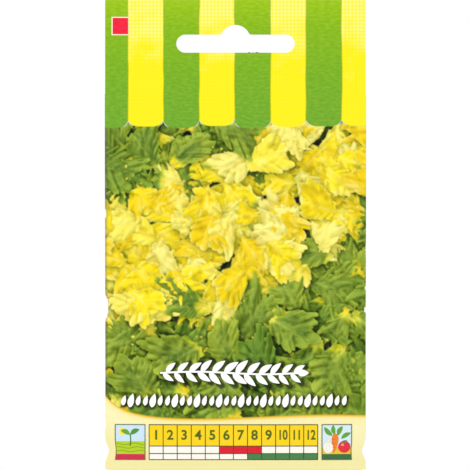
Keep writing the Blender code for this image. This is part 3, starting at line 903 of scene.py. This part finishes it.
def calendar():
    """Twelve months by number, with a bar of months in each of the two rows below."""
    left, low, right, high = CALENDAR
    month = (right - left) / 12
    sowing, sown = left + month * SOWING[0], left + month * (SOWING[-1] + 1)
    picking, picked = left + month * PICKING[0], left + month * (PICKING[-1] + 1)
    parts = [
        block(FRONT, left, MONTH_ROW_LOW, right, high, 1, GOLD),
        block(FRONT, left, low, right, MONTH_ROW_LOW, 1, CREAM),
        block(FRONT, sowing, SOWING_ROW_LOW, sown, MONTH_ROW_LOW, 2, RED),
        block(FRONT, picking, low, picked, SOWING_ROW_LOW, 2, GREEN),
    ]
    for k in range(13):
        x = left + month * k
        parts.append(block(FRONT, x - LINE / 2, low, x + LINE / 2, high, 3, BROWN))
    for y in (low, SOWING_ROW_LOW, MONTH_ROW_LOW, high):
        parts.append(block(FRONT, left, y - LINE / 2, right, y + LINE / 2, 4, BROWN))
    middle_up = (MONTH_ROW_LOW + high) / 2
    for k in range(12):
        parts.append(numeral(FRONT, k + 1, left + month * (k + 0.5), middle_up, 2.6, 5, "#4E6408"))
    return parts


def frame_lines(side, left, low, right, high, layer, hex_colour):
    """Lines round a rectangle, the upright ones a layer above the level ones."""
    w = LINE / 2
    level = [block(side, left - w, y - w, right + w, y + w, layer, hex_colour) for y in (low, high)]
    upright = [block(side, x - w, low, x + w, high, layer + 1, hex_colour) for x in (left, right)]
    return level + upright


def sprout_sign(side, left, low, right, high):
    """A pictogram of sowing: sky with a sun, furrowed ground with a sprout, and a red foot."""
    middle, foot, ground = (left + right) / 2, low + 1.55, low + 5.1
    parts = [
        block(side, left, ground, right, high, 1, "#CBE4FA"),
        block(side, left, foot, right, ground, 1, "#B4D01C"),
        block(side, left, low, right, foot, 1, "#D01F4C"),
        spot(side, left + 2, high - 1.9, 1.05, 1.05, 2, "#FFE14A"),
    ]
    u = np.linspace(0, 1, 12)
    x = left + 0.4 + (right - left - 0.8) * u
    for k in range(3):
        furrow = foot + 0.8 + k + 0.22 * np.sin(9 * u + k)
        parts.append(stroke(side, x, furrow, 0.22, 2, "#86A812"))
    parts.append(stroke(side, middle + 0.15 * np.sin(3 * u), ground - 1.3 + 3.1 * u, 0.32, 3, "#3D7A1C"))
    top = ground + 1.8
    parts.append(leaf_mark(side, (middle, top), (middle + 2.6, top + 1.5), 1.3, 4, "#4C9422", 0.25))
    parts.append(leaf_mark(side, (middle, top), (middle - 2.6, top + 1.2), 1.3, 4, "#5EA62A", -0.25))
    return parts + frame_lines(side, left, low, right, high, 5, SIGN_FRAME)


CARROT_TOPS = (  # start and end of each leaf, from the middle of the sign's foot, and its width
    ((-1.2, 6.6), (-3.5, 9.0), 1.3), ((-0.6, 6.8), (-1.0, 9.6), 1.2),
    ((0.2, 6.6), (1.6, 9.2), 1.3), ((1.2, 5.8), (3.9, 7.4), 1.2),
)


def carrot(side, middle, low):
    """Tops, a root that tapers downwards, and three short rings across it."""
    tops = [leaf_mark(side, (middle + start[0], low + start[1]), (middle + end[0], low + end[1]),
                      width, 3, SPRIG, 0.2) for start, end, width in CARROT_TOPS]
    start, end = (middle - 0.4, low + 7.2), (middle - 0.9, low + 1.7)
    parts = tops + [leaf_mark(side, start, end, 1.9, 4, "#F07F22", 0.1, 0.6)]
    x = middle - 1.3 + np.linspace(0, 0.8, 5)
    for up in (5.6, 4.5, 3.4):
        parts.append(stroke(side, x, np.full(5, low + up), 0.14, 5, "#C65C12"))
    return parts


def tomato(side, x, y):
    """A disc with a light spot and a leaf on top."""
    return [
        spot(side, x, y, 1.75, 1.6, 5, "#E3203A"),
        spot(side, x - 0.5, y + 0.6, 0.45, 0.35, 6, "#F88E96"),
        leaf_mark(side, (x - 0.9, y + 1.3), (x + 0.9, y + 1.7), 0.6, 6, "#3D8A2A"),
    ]


def onion(side, x, y):
    """A disc with a stub of stalk and two bowed ribs."""
    u = np.linspace(-0.9, 0.9, 9)
    ribs = [stroke(side, x + bow * np.cos(1.5 * u), y + 1.3 * u, 0.10, 6, "#D9CFB0") for bow in (-0.5, 0.5)]
    stalk = leaf_mark(side, (x, y + 1.2), (x + 0.1, y + 2.6), 0.5, 5, "#F0EBD8")
    return [spot(side, x, y, 1.35, 1.5, 5, "#FBF5EA"), stalk] + ribs


def harvest_sign(side, left, low, right, high):
    """A pictogram of picking: a carrot, an onion and a tomato on a yellow strip over a dark green foot."""
    middle, foot = (left + right) / 2, low + 1.53
    parts = [
        block(side, left, foot, right, high, 1, SKY),
        block(side, left, low, right, foot, 1, "#2F6B3C"),
        block(side, left, foot, right, foot + 1.9, 2, "#E7C22C"),
    ]
    parts += carrot(side, middle, low)
    parts += tomato(side, middle + 2.1, low + 3.5)
    parts += onion(side, middle - 2.4, low + 3.3)
    return parts + frame_lines(side, left, low, right, high, 7, SIGN_FRAME)


GARLAND_UP = 27.0
GARLAND = (15.2, 56.2)  # from where to where it goes across
BEADS_UP = 19.4
BEADS = (5.2, 66.2)  # across, the first and the last


def branch_up(x):
    """Height of the white branch: a shallow sine."""
    return GARLAND_UP + 0.35 * np.sin((x - GARLAND[0]) / 6.2)


def garland_leaves():
    """Start, end, width and bend of each leaf on the white branch, in pairs that lean towards its tip and
    grow shorter away from its middle."""
    leaves = []
    for k, x in enumerate(np.linspace(GARLAND[0] + 0.8, GARLAND[1] - 5.0, 12)):
        for way in (-1, 1):
            start = (x + 0.9 * (way > 0), branch_up(x + 0.9 * (way > 0)))
            lean = np.radians(42 + 6 * np.sin(2.1 * k + way))
            size = 5.0 * (1 - 0.25 * abs(k - 5.5) / 5.5)
            end = (start[0] + size * np.cos(lean), start[1] + way * size * np.sin(lean))
            leaves.append((start, end, 0.38 * size, 0.22 * way))
    return leaves


def garland():
    """The white branch: its stem, its leaves and one more at its tip."""
    tip = GARLAND[1] - 1.5
    x = np.linspace(GARLAND[0], tip, 90)
    parts = [stroke(FRONT, x, branch_up(x), 0.5, 1, WHITE)]
    for start, end, width, bend in garland_leaves():
        parts.append(leaf_mark(FRONT, start, end, width, 2, WHITE, bend, 0.8))
    start, end = (tip - 1.6, branch_up(tip - 1.6)), (tip + 1.5, branch_up(tip))
    return parts + [leaf_mark(FRONT, start, end, 1.9, 3, WHITE, 0, 0.8)]


def bead_places():
    """Where the seed marks under the branch stand, and how long each is: every third one is larger."""
    return [(x, 1.9 if k % 3 == 1 else 1.4) for k, x in enumerate(np.linspace(*BEADS, 31))]


def beads():
    """A row of seed marks under the branch."""
    parts = []
    for x, size in bead_places():
        start, end = (x - 0.25 * size, BEADS_UP - size), (x + 0.25 * size, BEADS_UP + size)
        parts.append(leaf_mark(FRONT, start, end, 0.92 * size, 1, WHITE, 0.1, 0.75))
    return parts


SHADE = (0.28, 0.32)  # how far to the right and down a printed shadow falls


def shade_marks(picture):
    """Soft dark shadows printed under the branch and the seed marks, by distance from each one's middle
    line."""
    across = picture.low[0] + picture.DOT * (np.arange(picture.columns) + 0.5) - SHADE[0]
    up = picture.low[1] + picture.DOT * (np.arange(picture.rows) + 0.5) + SHADE[1]
    across, up = np.meshgrid(across, up)
    marks = [(start, end, width) for start, end, width, _ in garland_leaves()]
    for x, size in bead_places():
        lean, tall = 0.2 * size, 0.7 * size
        marks.append(((x - lean, BEADS_UP - tall), (x + lean, BEADS_UP + tall), 0.9 * size))
    marks.append(((GARLAND[0], GARLAND_UP), (GARLAND[1], GARLAND_UP), 0.5))
    dark = np.zeros(across.shape)
    for start, end, width in marks:
        start, along = np.array(start), np.subtract(end, start)
        share = np.clip(((across - start[0]) * along[0] + (up - start[1]) * along[1]) / (along @ along), 0, 1)
        away = np.hypot(across - start[0] - share * along[0], up - start[1] - share * along[1])
        dark = np.maximum(dark, 1 - smoothstep(0.35 * width, 0.35 * width + 0.75, away))
    picture.colour = picture.colour * (1 - 0.82 * dark[..., None])


BURRS = ((39.8, 0.34, 0.16), (40.9, 0.24, 0.10), (41.8, 0.30, 0.20), (42.3, 0.20, 0.12))


def slot_burrs():
    """Torn fibres of printed paper left standing in the slot's lower edge, in its one green stripe: place
    across, half width and half height of each."""
    edge = BAR_TOP - BAR_HEIGHT - BOTTOM
    return [spot(FRONT, across, edge, wide, high, 1, "#5E8F3C") for across, wide, high in BURRS]


SPROUT_SIGN = (2.76, 11.03)  # left and right
HARVEST_SIGN = (59.86, 68.08)
SQUARE_RIM = (1.75, 120.15, 6.48, 125.25)  # left, low, right, high
SQUARE = (2.08, 120.45, 6.36, 124.95)


def front_inks(finish):
    """The front's design: calendar between two signs, a red square, the white marks, the slot's fibres."""
    _, low, _, high = CALENDAR
    parts = calendar()
    parts += sprout_sign(FRONT, SPROUT_SIGN[0], low, SPROUT_SIGN[1], high)
    parts += harvest_sign(FRONT, HARVEST_SIGN[0], low, HARVEST_SIGN[1], high)
    parts += [block(FRONT, *SQUARE_RIM, 1, "#FBEFC8"), block(FRONT, *SQUARE, 2, "#F00038")]
    parts += garland() + beads() + slot_burrs()
    return piece("front_inks", parts, finish)


def watering_sign(side, left, low, right, high):
    """A pictogram of watering: a cloud and drops over wet ground."""
    middle, ground = (left + right) / 2, low + 2.9
    parts = [
        block(side, left, ground, right, high, 1, SKY),
        block(side, left, low, right, ground, 1, "#9A6A34"),
        block(side, left, ground - 0.5, right, ground, 2, "#6E8E2C"),
    ]
    for dx, dy, size in ((-1.7, 0, 1.3), (0.1, 0.55, 1.7), (1.9, 0.05, 1.25)):
        parts.append(spot(side, middle + dx, high - 2.6 + dy, size, 0.8 * size, 2, WHITE))
    for dx, dy in ((-2.2, 1.6), (-0.7, 0.9), (0.9, 1.8), (2.3, 1.0)):
        x, y = middle + dx, ground + dy
        parts.append(leaf_mark(side, (x, y + 1.3), (x - 0.15, y), 0.8, 3, "#2F86C8", 0, 1.5))
    return parts + frame_lines(side, left, low, right, high, 5, SIGN_FRAME)


BACK_LEFT, BACK_RIGHT = 6.0, 66.0
BACK_FRAME = (BACK_LEFT - 2.5, 5.5, BACK_RIGHT + 2.5, 89.5)  # left, low, right, high
BACK_SIGN = (8.27, CALENDAR[3] - CALENDAR[1])  # width and height of a sign
BACK_SIGNS_UP = 75.5
RULED_LINES = np.arange(37.0, 68.0, 6.0)
SPRAY_UP = 27.5
SCALE_LOW, SCALE_HIGH = 7.8, 14.4
TICK = 0.14


def leafy_spray():
    """A stem along a shallow sine, with leaves in pairs."""
    x = np.linspace(BACK_LEFT + 12, BACK_RIGHT - 12, 60)
    wave = SPRAY_UP + 0.5 * np.sin(x / 5.4)
    parts = [stroke(BACK, x, wave, 0.3, 1, GREEN)]
    for k in range(4, 56, 4):
        for way in (-1, 1):
            start, end = (x[k], wave[k]), (x[k] + 2.6, wave[k] + way * 2.2)
            parts.append(leaf_mark(BACK, start, end, 1.15, 2, SPRIG, 0.2 * way, 0.8))
    return parts


def centimetre_scale():
    """A ruler of six centimetres: a tick for each millimetre, longer ones for fives and tens, numbered."""
    parts = [block(BACK, BACK_LEFT, SCALE_LOW, BACK_RIGHT, SCALE_HIGH, 1, CREAM)]
    parts += frame_lines(BACK, BACK_LEFT, SCALE_LOW, BACK_RIGHT, SCALE_HIGH, 2, BROWN)
    for millimetre in range(1, 60):
        tall = 2.0 if millimetre % 10 == 0 else 1.5 if millimetre % 5 == 0 else 0.9
        x = BACK_LEFT + millimetre
        parts.append(block(BACK, x - TICK / 2, SCALE_LOW, x + TICK / 2, SCALE_LOW + tall, 3, BROWN))
    return parts + [numeral(BACK, k, BACK_LEFT + 10 * k, SCALE_LOW + 4.3, 2.4, 4, BROWN) for k in range(1, 6)]


def back_inks(finish):
    """The back's design: three signs, ruled lines to write on, a leafy spray and a centimetre scale."""
    width, height = BACK_SIGN
    low, high = BACK_SIGNS_UP, BACK_SIGNS_UP + height
    parts = frame_lines(BACK, *BACK_FRAME, 1, GREEN)
    for sign, middle in ((sprout_sign, 16.0), (watering_sign, 36.0), (harvest_sign, 56.0)):
        parts += sign(BACK, middle - width / 2, low, middle + width / 2, high)
    for up in RULED_LINES:
        parts.append(block(BACK, BACK_LEFT, up - LINE / 2, BACK_RIGHT, up + LINE / 2, 1, "#7C9A54"))
    parts += leafy_spray() + centimetre_scale()
    return piece("back_inks", parts, finish)


# The seeds


SEED_PROFILE = (0.12, 0.55, 0.82, 1.0, 0.98, 0.62)  # shares of the radius, from foot to crown
SEED_RIB = 0.10  # share by which the four ribs stand out
HEAP_COUNT = 330  # seeds in each layer of the heap
HEAP_LAYERS = (-0.8, 0.0, 0.8)  # their places between the panels, as shares of the room
SEED_TONE = 2.38  # width of a patch of one tone, about a seed's length


def achene():
    """One seed, a ribbed wedge: its radius a curve along it and a cosine round it. Gives points and faces."""
    u = np.linspace(0, 1, len(SEED_PROFILE))[:, None]
    a = np.linspace(0, 2 * np.pi, 9)[:-1]
    rings = SEED_RADIUS * np.array(SEED_PROFILE)[:, None] * (1 + SEED_RIB * np.cos(4 * a))
    points = np.stack([rings * np.cos(a), 0.75 * rings * np.sin(a), (u - 0.5) * SEED_LENGTH + 0 * rings], -1)
    ring = np.arange(rings.size).reshape(rings.shape)
    ring = np.concatenate([ring, ring[:, :1]], axis=1)
    sides = np.stack([ring[:-1, :-1], ring[:-1, 1:], ring[1:, 1:], ring[1:, :-1]], -1).reshape(-1, 4)
    foot, crown = ring[0, :-1][::-1].reshape(2, 4), ring[-1, :-1].reshape(2, 4)
    middles = [[end[0, 0], end[0, 3], end[1, 0], end[1, 3]] for end in (foot, crown)]
    return points.reshape(-1, 3), np.concatenate([sides, foot, crown, middles])


def turned(a, b, angle):
    """Two coordinates after a turn from the first towards the second."""
    return a * np.cos(angle) - b * np.sin(angle), a * np.sin(angle) + b * np.cos(angle)


def achenes(finish):
    """Loose seeds, copied through the heap in sunflower patterns, one behind the other."""
    draw = np.random.default_rng(7)
    shape, quads = achene()
    k = np.arange(HEAP_COUNT * len(HEAP_LAYERS))
    reach = 0.93 * np.sqrt((k % HEAP_COUNT + 0.5) / HEAP_COUNT)
    angle = k * GOLDEN_ANGLE + draw.uniform(-0.2, 0.2, len(k))
    across, up = reach * np.cos(angle), reach * np.sin(angle)
    low, high = BOTTOM + HEAP_LOW, BOTTOM + HEAP_HIGH
    x = across * HEAP_WIDTH / 2 * (1 - 0.10 * up * up)
    z = (low + high) / 2 + up * (high - low) / 2 * (1 - 0.12 * np.maximum(up, 0) * across)
    bulge = opening(x, z)
    middle = (BACK_BULGE - FRONT_BULGE) / 2 * bulge
    room = np.maximum(POCKET_HALF_GAP + (FRONT_BULGE + BACK_BULGE) / 2 * bulge - PAPER - 1.1, 0.1)
    y = middle + np.repeat(HEAP_LAYERS, HEAP_COUNT) * room * (1 - reach**2) ** 0.3
    spin = draw.uniform(0, 2 * np.pi, (len(k), 1))
    lean = draw.uniform(-0.15, 0.15, (len(k), 1))
    roll = draw.uniform(0, 3, (len(k), 1))
    seed_x, seed_y = turned(shape[:, 0], shape[:, 1], roll)
    seed_y, seed_z = turned(seed_y, shape[:, 2], lean)
    seed_z, seed_x = turned(seed_z, seed_x, spin)
    points = np.stack([x[:, None] + seed_x, y[:, None] + seed_y, z[:, None] + seed_z], axis=-1)
    faces = (quads[None] + (k * len(shape))[:, None, None]).reshape(-1, 4)
    return piece("achenes", [(points, faces, {})], finish, ["seeds"])


# Finishes


def rgba(hex_colour):
    """A socket's colour from an sRGB hex value."""
    return (*linear(hex_colour), 1)


def node(tree, kind, inputs, output=0, stops=(), **settings):
    """Adds a node with its settings and gives one of its outputs. inputs are its sockets' values, or the
    sockets they come from, and stops are a colour ramp's places and colours."""
    made = tree.nodes.new("ShaderNode" + kind)
    for key, value in settings.items():
        setattr(made, key, value)
    if stops:
        made.color_ramp.elements.remove(made.color_ramp.elements[1])
    for k, (place, hex_colour) in enumerate(stops):
        stop = made.color_ramp.elements.new(place) if k else made.color_ramp.elements[0]
        stop.color = rgba(hex_colour)
    for key, value in inputs.items():
        if isinstance(value, bpy.types.NodeSocket):
            tree.links.new(value, made.inputs[key])
        else:
            made.inputs[key].default_value = value
    return made.outputs[output]


def finish_named(name, roughness, specular):
    """A new material with its node tree and its shader."""
    finish = bpy.data.materials.new(name)
    finish.use_nodes = True
    shader = finish.node_tree.nodes["Principled BSDF"]
    shader.inputs["Roughness"].default_value = roughness
    shader.inputs["Specular IOR Level"].default_value = specular
    return finish, finish.node_tree, shader


VARNISH = (0.42, 0.10)  # roughness and specular level of the satin varnish over every ink
COATING = (0.5, 0.012)  # width and height of the grains in the paper's coating
PRINT_EDGE = 0.14  # half the width over which the awning's edge goes over into what is beside it


def fine_pebble(tree, shader, grain_mm, height_mm):
    """A fine pebble, as bump: one noise with grains of that width and height, on object coordinates. Gives
    the noise."""
    place = node(tree, "TexCoord", {}, "Object")
    grain = node(tree, "TexNoise", {"Vector": place, "Scale": 1 / (grain_mm * MM), "Detail": 3.0})
    bump = node(tree, "Bump", {"Height": grain, "Strength": 0.5, "Distance": height_mm * MM})
    tree.links.new(bump, shader.inputs["Normal"])
    return grain


def print_place(tree):
    """The places and distances that the printed pieces carry, as single values: place across, place up,
    distance from a seam, distance inside the awning, distance inside the band, how rubbed."""
    values = []
    for name in ("print_mm", "edges"):
        attribute = node(tree, "Attribute", {}, "Vector", attribute_name=name)
        values += list(node(tree, "SeparateXYZ", {0: attribute}).node.outputs)
    return values


SEAM_SWAY = 0.7  # how far a seam wavers
SEAM_SOFT = 0.15  # half the width over which green goes over into yellow
YELLOW_FADE = (36.0, 131.0, 144.0)  # height that the clouds add, and heights between which it pales
GREEN_FADE = (12.0, 94.0, 140.0)  # the same for the streaks and the green


def awning_colour(tree, across, up):
    """The awning's stripes: a triangle wave of the place across. The yellow fades to lemon near the top, in
    clouds a few millimetres wide, with a canvas weave whose threads stay yellow. The green turns
    yellower near the top, under short pale streaks across. A thin olive line runs where they meet."""
    place = node(tree, "CombineXYZ", {0: across, 1: up})
    clouds = node(tree, "TexNoise", {"Vector": place, "Scale": 1 / CLOUD, "Detail": 2.0})
    wander = node(tree, "TexNoise", {"Vector": place, "Scale": 1 / WANDER, "Detail": 1.0})
    moved = node(tree, "Math", {0: wander, 1: SEAM_SWAY, 2: across}, operation="MULTIPLY_ADD")
    middle = FIRST_STRIPE + STRIPE / 2 + SEAM_SWAY / 2
    from_middle = node(tree, "Math", {0: moved, 1: middle}, operation="SUBTRACT")
    wave = node(tree, "Math", {0: from_middle, 1: STRIPE}, operation="PINGPONG")
    is_green = node(tree, "MapRange", {0: wave, 1: STRIPE / 2 - SEAM_SOFT, 2: STRIPE / 2 + SEAM_SOFT})
    cloudy_up = node(tree, "Math", {0: clouds, 1: YELLOW_FADE[0], 2: up}, operation="MULTIPLY_ADD")
    faded = node(tree, "MapRange", {0: cloudy_up, 1: YELLOW_FADE[1], 2: YELLOW_FADE[2], 3: 0.08})
    threads = []
    for way in (across, up):
        turn = node(tree, "Math", {0: way, 1: 2 * np.pi / WEAVE}, operation="MULTIPLY")
        sine = node(tree, "Math", {0: turn}, operation="SINE")
        threads.append(node(tree, "MapRange", {0: sine, 1: 0.35, 2: 1.0}))
    weave = node(tree, "Math", {0: threads[0], 1: threads[1]}, operation="MAXIMUM")
    thread_share = node(tree, "MapRange", {0: weave, 3: 1.0, 4: 0.2})
    pale = node(tree, "Math", {0: faded, 1: thread_share}, operation="MULTIPLY")
    yellow = node(tree, "Mix", {0: pale, 6: rgba("#F9EC00"), 7: rgba("#FAF684")}, 2, data_type="RGBA")
    stretched = node(tree, "Mapping", {"Vector": place, "Scale": (0.6, 1.5, 1.0)})
    streaks = node(tree, "TexNoise", {"Vector": stretched, "Scale": 1 / STREAK, "Detail": 3.0})
    green_up = node(tree, "Math", {0: streaks, 1: GREEN_FADE[0], 2: up}, operation="MULTIPLY_ADD")
    green_share = node(tree, "MapRange", {0: green_up, 1: GREEN_FADE[1], 2: GREEN_FADE[2]})
    greens = ((0.0, "#66A230"), (0.45, "#72AC1E"), (0.75, "#82B610"), (1.0, "#A4CA08"))
    green = node(tree, "ValToRGB", {0: green_share}, stops=greens)
    streak_share = node(tree, "MapRange", {0: streaks, 1: 0.40, 2: 0.75, 4: 0.3})
    green = node(tree, "Mix", {0: streak_share, 6: green, 7: rgba("#AECC4C")}, 2, data_type="RGBA")
    stripes = node(tree, "Mix", {0: is_green, 6: yellow, 7: green}, 2, data_type="RGBA")
    off_seam = node(tree, "Math", {0: wave, 1: STRIPE / 2}, operation="SUBTRACT")
    off_seam = node(tree, "Math", {0: off_seam}, operation="ABSOLUTE")
    seam_share = node(tree, "MapRange", {0: off_seam, 1: 0.32, 2: 0.05, 4: 0.35})
    return node(tree, "Mix", {0: seam_share, 6: stripes, 7: rgba("#8C9410")}, 2, data_type="RGBA")


def bared(tree, rub, colour, place):
    """Where the print is rubbed through, the paper shows, in flecks of a few tenths of a millimetre."""
    flecks = node(tree, "TexNoise", {"Vector": place, "Scale": 1 / FLECK, "Detail": 3.0})
    worn = node(tree, "Math", {0: flecks, 1: 1.1, 2: rub}, operation="MULTIPLY_ADD")
    share = node(tree, "MapRange", {0: worn, 1: 1.02, 2: 1.18})
    return node(tree, "Mix", {0: share, 6: colour, 7: rgba("#F4F1EA")}, 2, data_type="RGBA")


def front_print_finish():
    """Offset print on coated paper under a satin varnish: strong inks with a soft, low sheen, over the
    coating's fine pebble. The awning and the band are drawn by their distances, the picture is read."""
    finish, tree, shader = finish_named("offset_print_front", *VARNISH)
    across, up, seam, inside, band_inside, rub = print_place(tree)
    place = node(tree, "CombineXYZ", {0: across, 1: up})
    colour = node(tree, "Attribute", {}, "Vector", attribute_name="picture")
    near_seam = node(tree, "MapRange", {0: seam, 1: 1.6, 2: 0.5})
    under_hem = node(tree, "MapRange", {0: inside, 1: -0.55, 2: -0.25, 4: 0.75})
    gap = node(tree, "Math", {0: near_seam, 1: under_hem}, operation="MULTIPLY")
    in_awning = node(tree, "MapRange", {0: inside, 1: -PRINT_EDGE, 2: PRINT_EDGE})
    in_band = node(tree, "MapRange", {0: band_inside, 1: -0.35, 2: 0.05})
    down_band = node(tree, "MapRange", {0: band_inside, 1: -0.35, 2: 12.0})
    creams = ((0.0, "#C8962A"), (0.035, "#EABB2C"), (0.065, "#F8DC7C"), (0.10, "#F8ECAC"),
              (0.3, "#F7F1BA"), (1.0, "#F2E8A8"))
    band = node(tree, "ValToRGB", {0: down_band}, stops=creams)
    # Painted shade: a grey line along the left fold, darkest at the edge, stands in for the shade where the
    # paper turns away
    left_fold_shade = node(tree, "MapRange", {0: across, 1: 0.75, 2: 0.15, 4: 0.5})
    awning = awning_colour(tree, across, up)
    fold_shade_grey, gap_grey = rgba("#55525A"), rgba("#D8DCD0")
    for share, over in ((left_fold_shade, fold_shade_grey), (gap, gap_grey), (in_band, band), (in_awning, awning)):
        colour = node(tree, "Mix", {0: share, 6: colour, 7: over}, 2, data_type="RGBA")
    tree.links.new(bared(tree, rub, colour, place), shader.inputs["Base Color"])
    fine_pebble(tree, shader, *COATING)
    return finish


def back_print_finish():
    """The same print and varnish on the back: the awning over a plain cream panel."""
    finish, tree, shader = finish_named("offset_print_back", *VARNISH)
    across, up, _, inside, _, _ = print_place(tree)
    in_awning = node(tree, "MapRange", {0: inside, 1: -PRINT_EDGE, 2: PRINT_EDGE})
    place = node(tree, "CombineXYZ", {0: across, 1: up})
    mottle = node(tree, "TexNoise", {"Vector": place, "Scale": 1 / MOTTLE, "Detail": 3.0})
    cream = node(tree, "Mix", {0: mottle, 6: rgba("#F6ECA4"), 7: rgba("#FAF3BE")}, 2, data_type="RGBA")
    awning = awning_colour(tree, across, up)
    colour = node(tree, "Mix", {0: in_awning, 6: cream, 7: awning}, 2, data_type="RGBA")
    tree.links.new(colour, shader.inputs["Base Color"])
    fine_pebble(tree, shader, *COATING)
    return finish


def ink_finish():
    """Printing ink under the same varnish: each patch's own colour, slightly uneven as it soaks in."""
    finish, tree, shader = finish_named("printing_ink", *VARNISH)
    ink = node(tree, "Attribute", {}, "Vector", attribute_name="ink")
    grain = fine_pebble(tree, shader, *COATING)
    share = node(tree, "MapRange", {0: grain, 3: 0.0, 4: 0.04})
    colour = node(tree, "Mix", {0: share, 6: ink, 7: rgba("#FFF8E0")}, 2, data_type="RGBA")
    tree.links.new(colour, shader.inputs["Base Color"])
    return finish


def paper_finish():
    """Bleached wood-free paper at cut edges and inside: matt and warm white, faintly mottled."""
    finish, tree, shader = finish_named("bleached_paper", 0.8, 0.3)
    grain = fine_pebble(tree, shader, 0.3, 0.02)
    colour = node(tree, "Mix", {0: grain, 6: rgba("#EFEBDF"), 7: rgba("#FBF9F2")}, 2, data_type="RGBA")
    tree.links.new(colour, shader.inputs["Base Color"])
    return finish


def glue_finish():
    """Dried dextrin glue: a thin amber film with a dull gloss, uneven from the drying."""
    finish, tree, shader = finish_named("dried_dextrin_glue", 0.3, 0.5)
    grain = fine_pebble(tree, shader, 1.2, 0.02)
    colour = node(tree, "Mix", {0: grain, 6: rgba("#D9C48A"), 7: rgba("#F0E6C4")}, 2, data_type="RGBA")
    tree.links.new(colour, shader.inputs["Base Color"])
    return finish


def seed_finish():
    """Dry seed coats: straw to grey-brown, matt, each seed a little different."""
    finish, tree, shader = finish_named("achene_coat", 0.75, 0.3)
    grain = fine_pebble(tree, shader, 0.35, 0.05)
    place = node(tree, "TexCoord", {}, "Object")
    tone = node(tree, "TexNoise", {"Vector": place, "Scale": 1 / (SEED_TONE * MM), "Detail": 1.0})
    base = node(tree, "Mix", {0: tone, 6: rgba("#8A6F48"), 7: rgba("#D8C49A")}, 2, data_type="RGBA")
    colour = node(tree, "Mix", {0: grain, 6: base, 7: rgba("#E4D6B4")}, 2, data_type="RGBA")
    tree.links.new(colour, shader.inputs["Base Color"])
    return finish


# The studio

FLOOR_BELOW = 35.0
FLOOR_HALF = 520.0
FLOOR_GRAIN = 1.667  # width of a cloud in the board's white
LENS = 300.0
FRAME_CENTRE_X = -0.14  # the frame's middle is a little to the left of the packet's
FRAME_HEIGHT = HEIGHT - 0.2  # the frame just crops the packet's ends


def floor():
    """A square of matt white board under the hanging packet."""
    finish, tree, shader = finish_named("matt_white_board", 0.9, 0.1)
    place = node(tree, "TexCoord", {}, "Object")
    grain = node(tree, "TexNoise", {"Vector": place, "Scale": 1 / (FLOOR_GRAIN * MM)})
    colour = node(tree, "Mix", {0: grain, 6: rgba("#F4F4F2"), 7: rgba("#FAFAF8")}, 2, data_type="RGBA")
    tree.links.new(colour, shader.inputs["Base Color"])
    across = np.linspace(-FLOOR_HALF, FLOOR_HALF, 9)
    x, y = np.meshgrid(across, across[::-1])
    points = np.stack([x, y, np.full(x.shape, BOTTOM - FLOOR_BELOW)], axis=-1)
    mesh = bpy.data.meshes.new("floor")
    mesh.from_pydata((points.reshape(-1, 3) * MM).tolist(), [], grid_quads(9, 9).tolist())
    mesh.materials.append(finish)
    made = placed("floor", mesh)


def lamp(name, place, aim, size, watts):
    """A round lamp at a place, turned to face another."""
    light = bpy.data.lights.new(name, "AREA")
    light.shape = "DISK"
    light.size = size
    light.energy = watts
    made = placed(name, light)
    made.location = place
    made.rotation_euler = (Vector(aim) - Vector(place)).to_track_quat("-Z", "Y").to_euler()


def studio():
    """An even white surround, a key lamp from the upper left, and a long lens square to the front."""
    middle = Vector((FRAME_CENTRE_X * MM, 0, (TOP + BOTTOM) / 2 * MM))
    lamp("key", (-0.7, -0.9, 0.75), middle, 0.7, 2.5)
    world = bpy.data.worlds.new("studio")
    world.use_nodes = True
    background = world.node_tree.nodes["Background"]
    background.inputs["Color"].default_value = (1, 1, 1, 1)
    background.inputs["Strength"].default_value = 1.0
    bpy.context.scene.world = world
    bpy.context.scene.view_settings.view_transform = "Standard"
    camera = bpy.data.cameras.new("camera")
    camera.lens = LENS
    camera.sensor_width = 36
    camera.clip_end = 50
    made = placed("camera", camera)
    made.location = middle + Vector((0, -FRAME_HEIGHT * MM * LENS / camera.sensor_width, 0))
    made.rotation_euler = (np.pi / 2, 0, 0)
    bpy.context.scene.camera = made


def build():
    """Makes every piece with its finish, then the studio."""
    picture = painted_picture()
    shade_marks(picture)
    paper_sheet(paper_finish())
    front_print(front_print_finish(), picture)
    back_print(back_print_finish())
    ink = ink_finish()
    front_inks(ink)
    back_inks(ink)
    achenes(seed_finish())
    glue = glue_finish()
    for name in ("header_glue", "glue_seam_left", "glue_seam_right"):
        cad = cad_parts[name]
        cad.data.materials.clear()
        cad.data.materials.append(glue)
    floor()
    studio()


build()
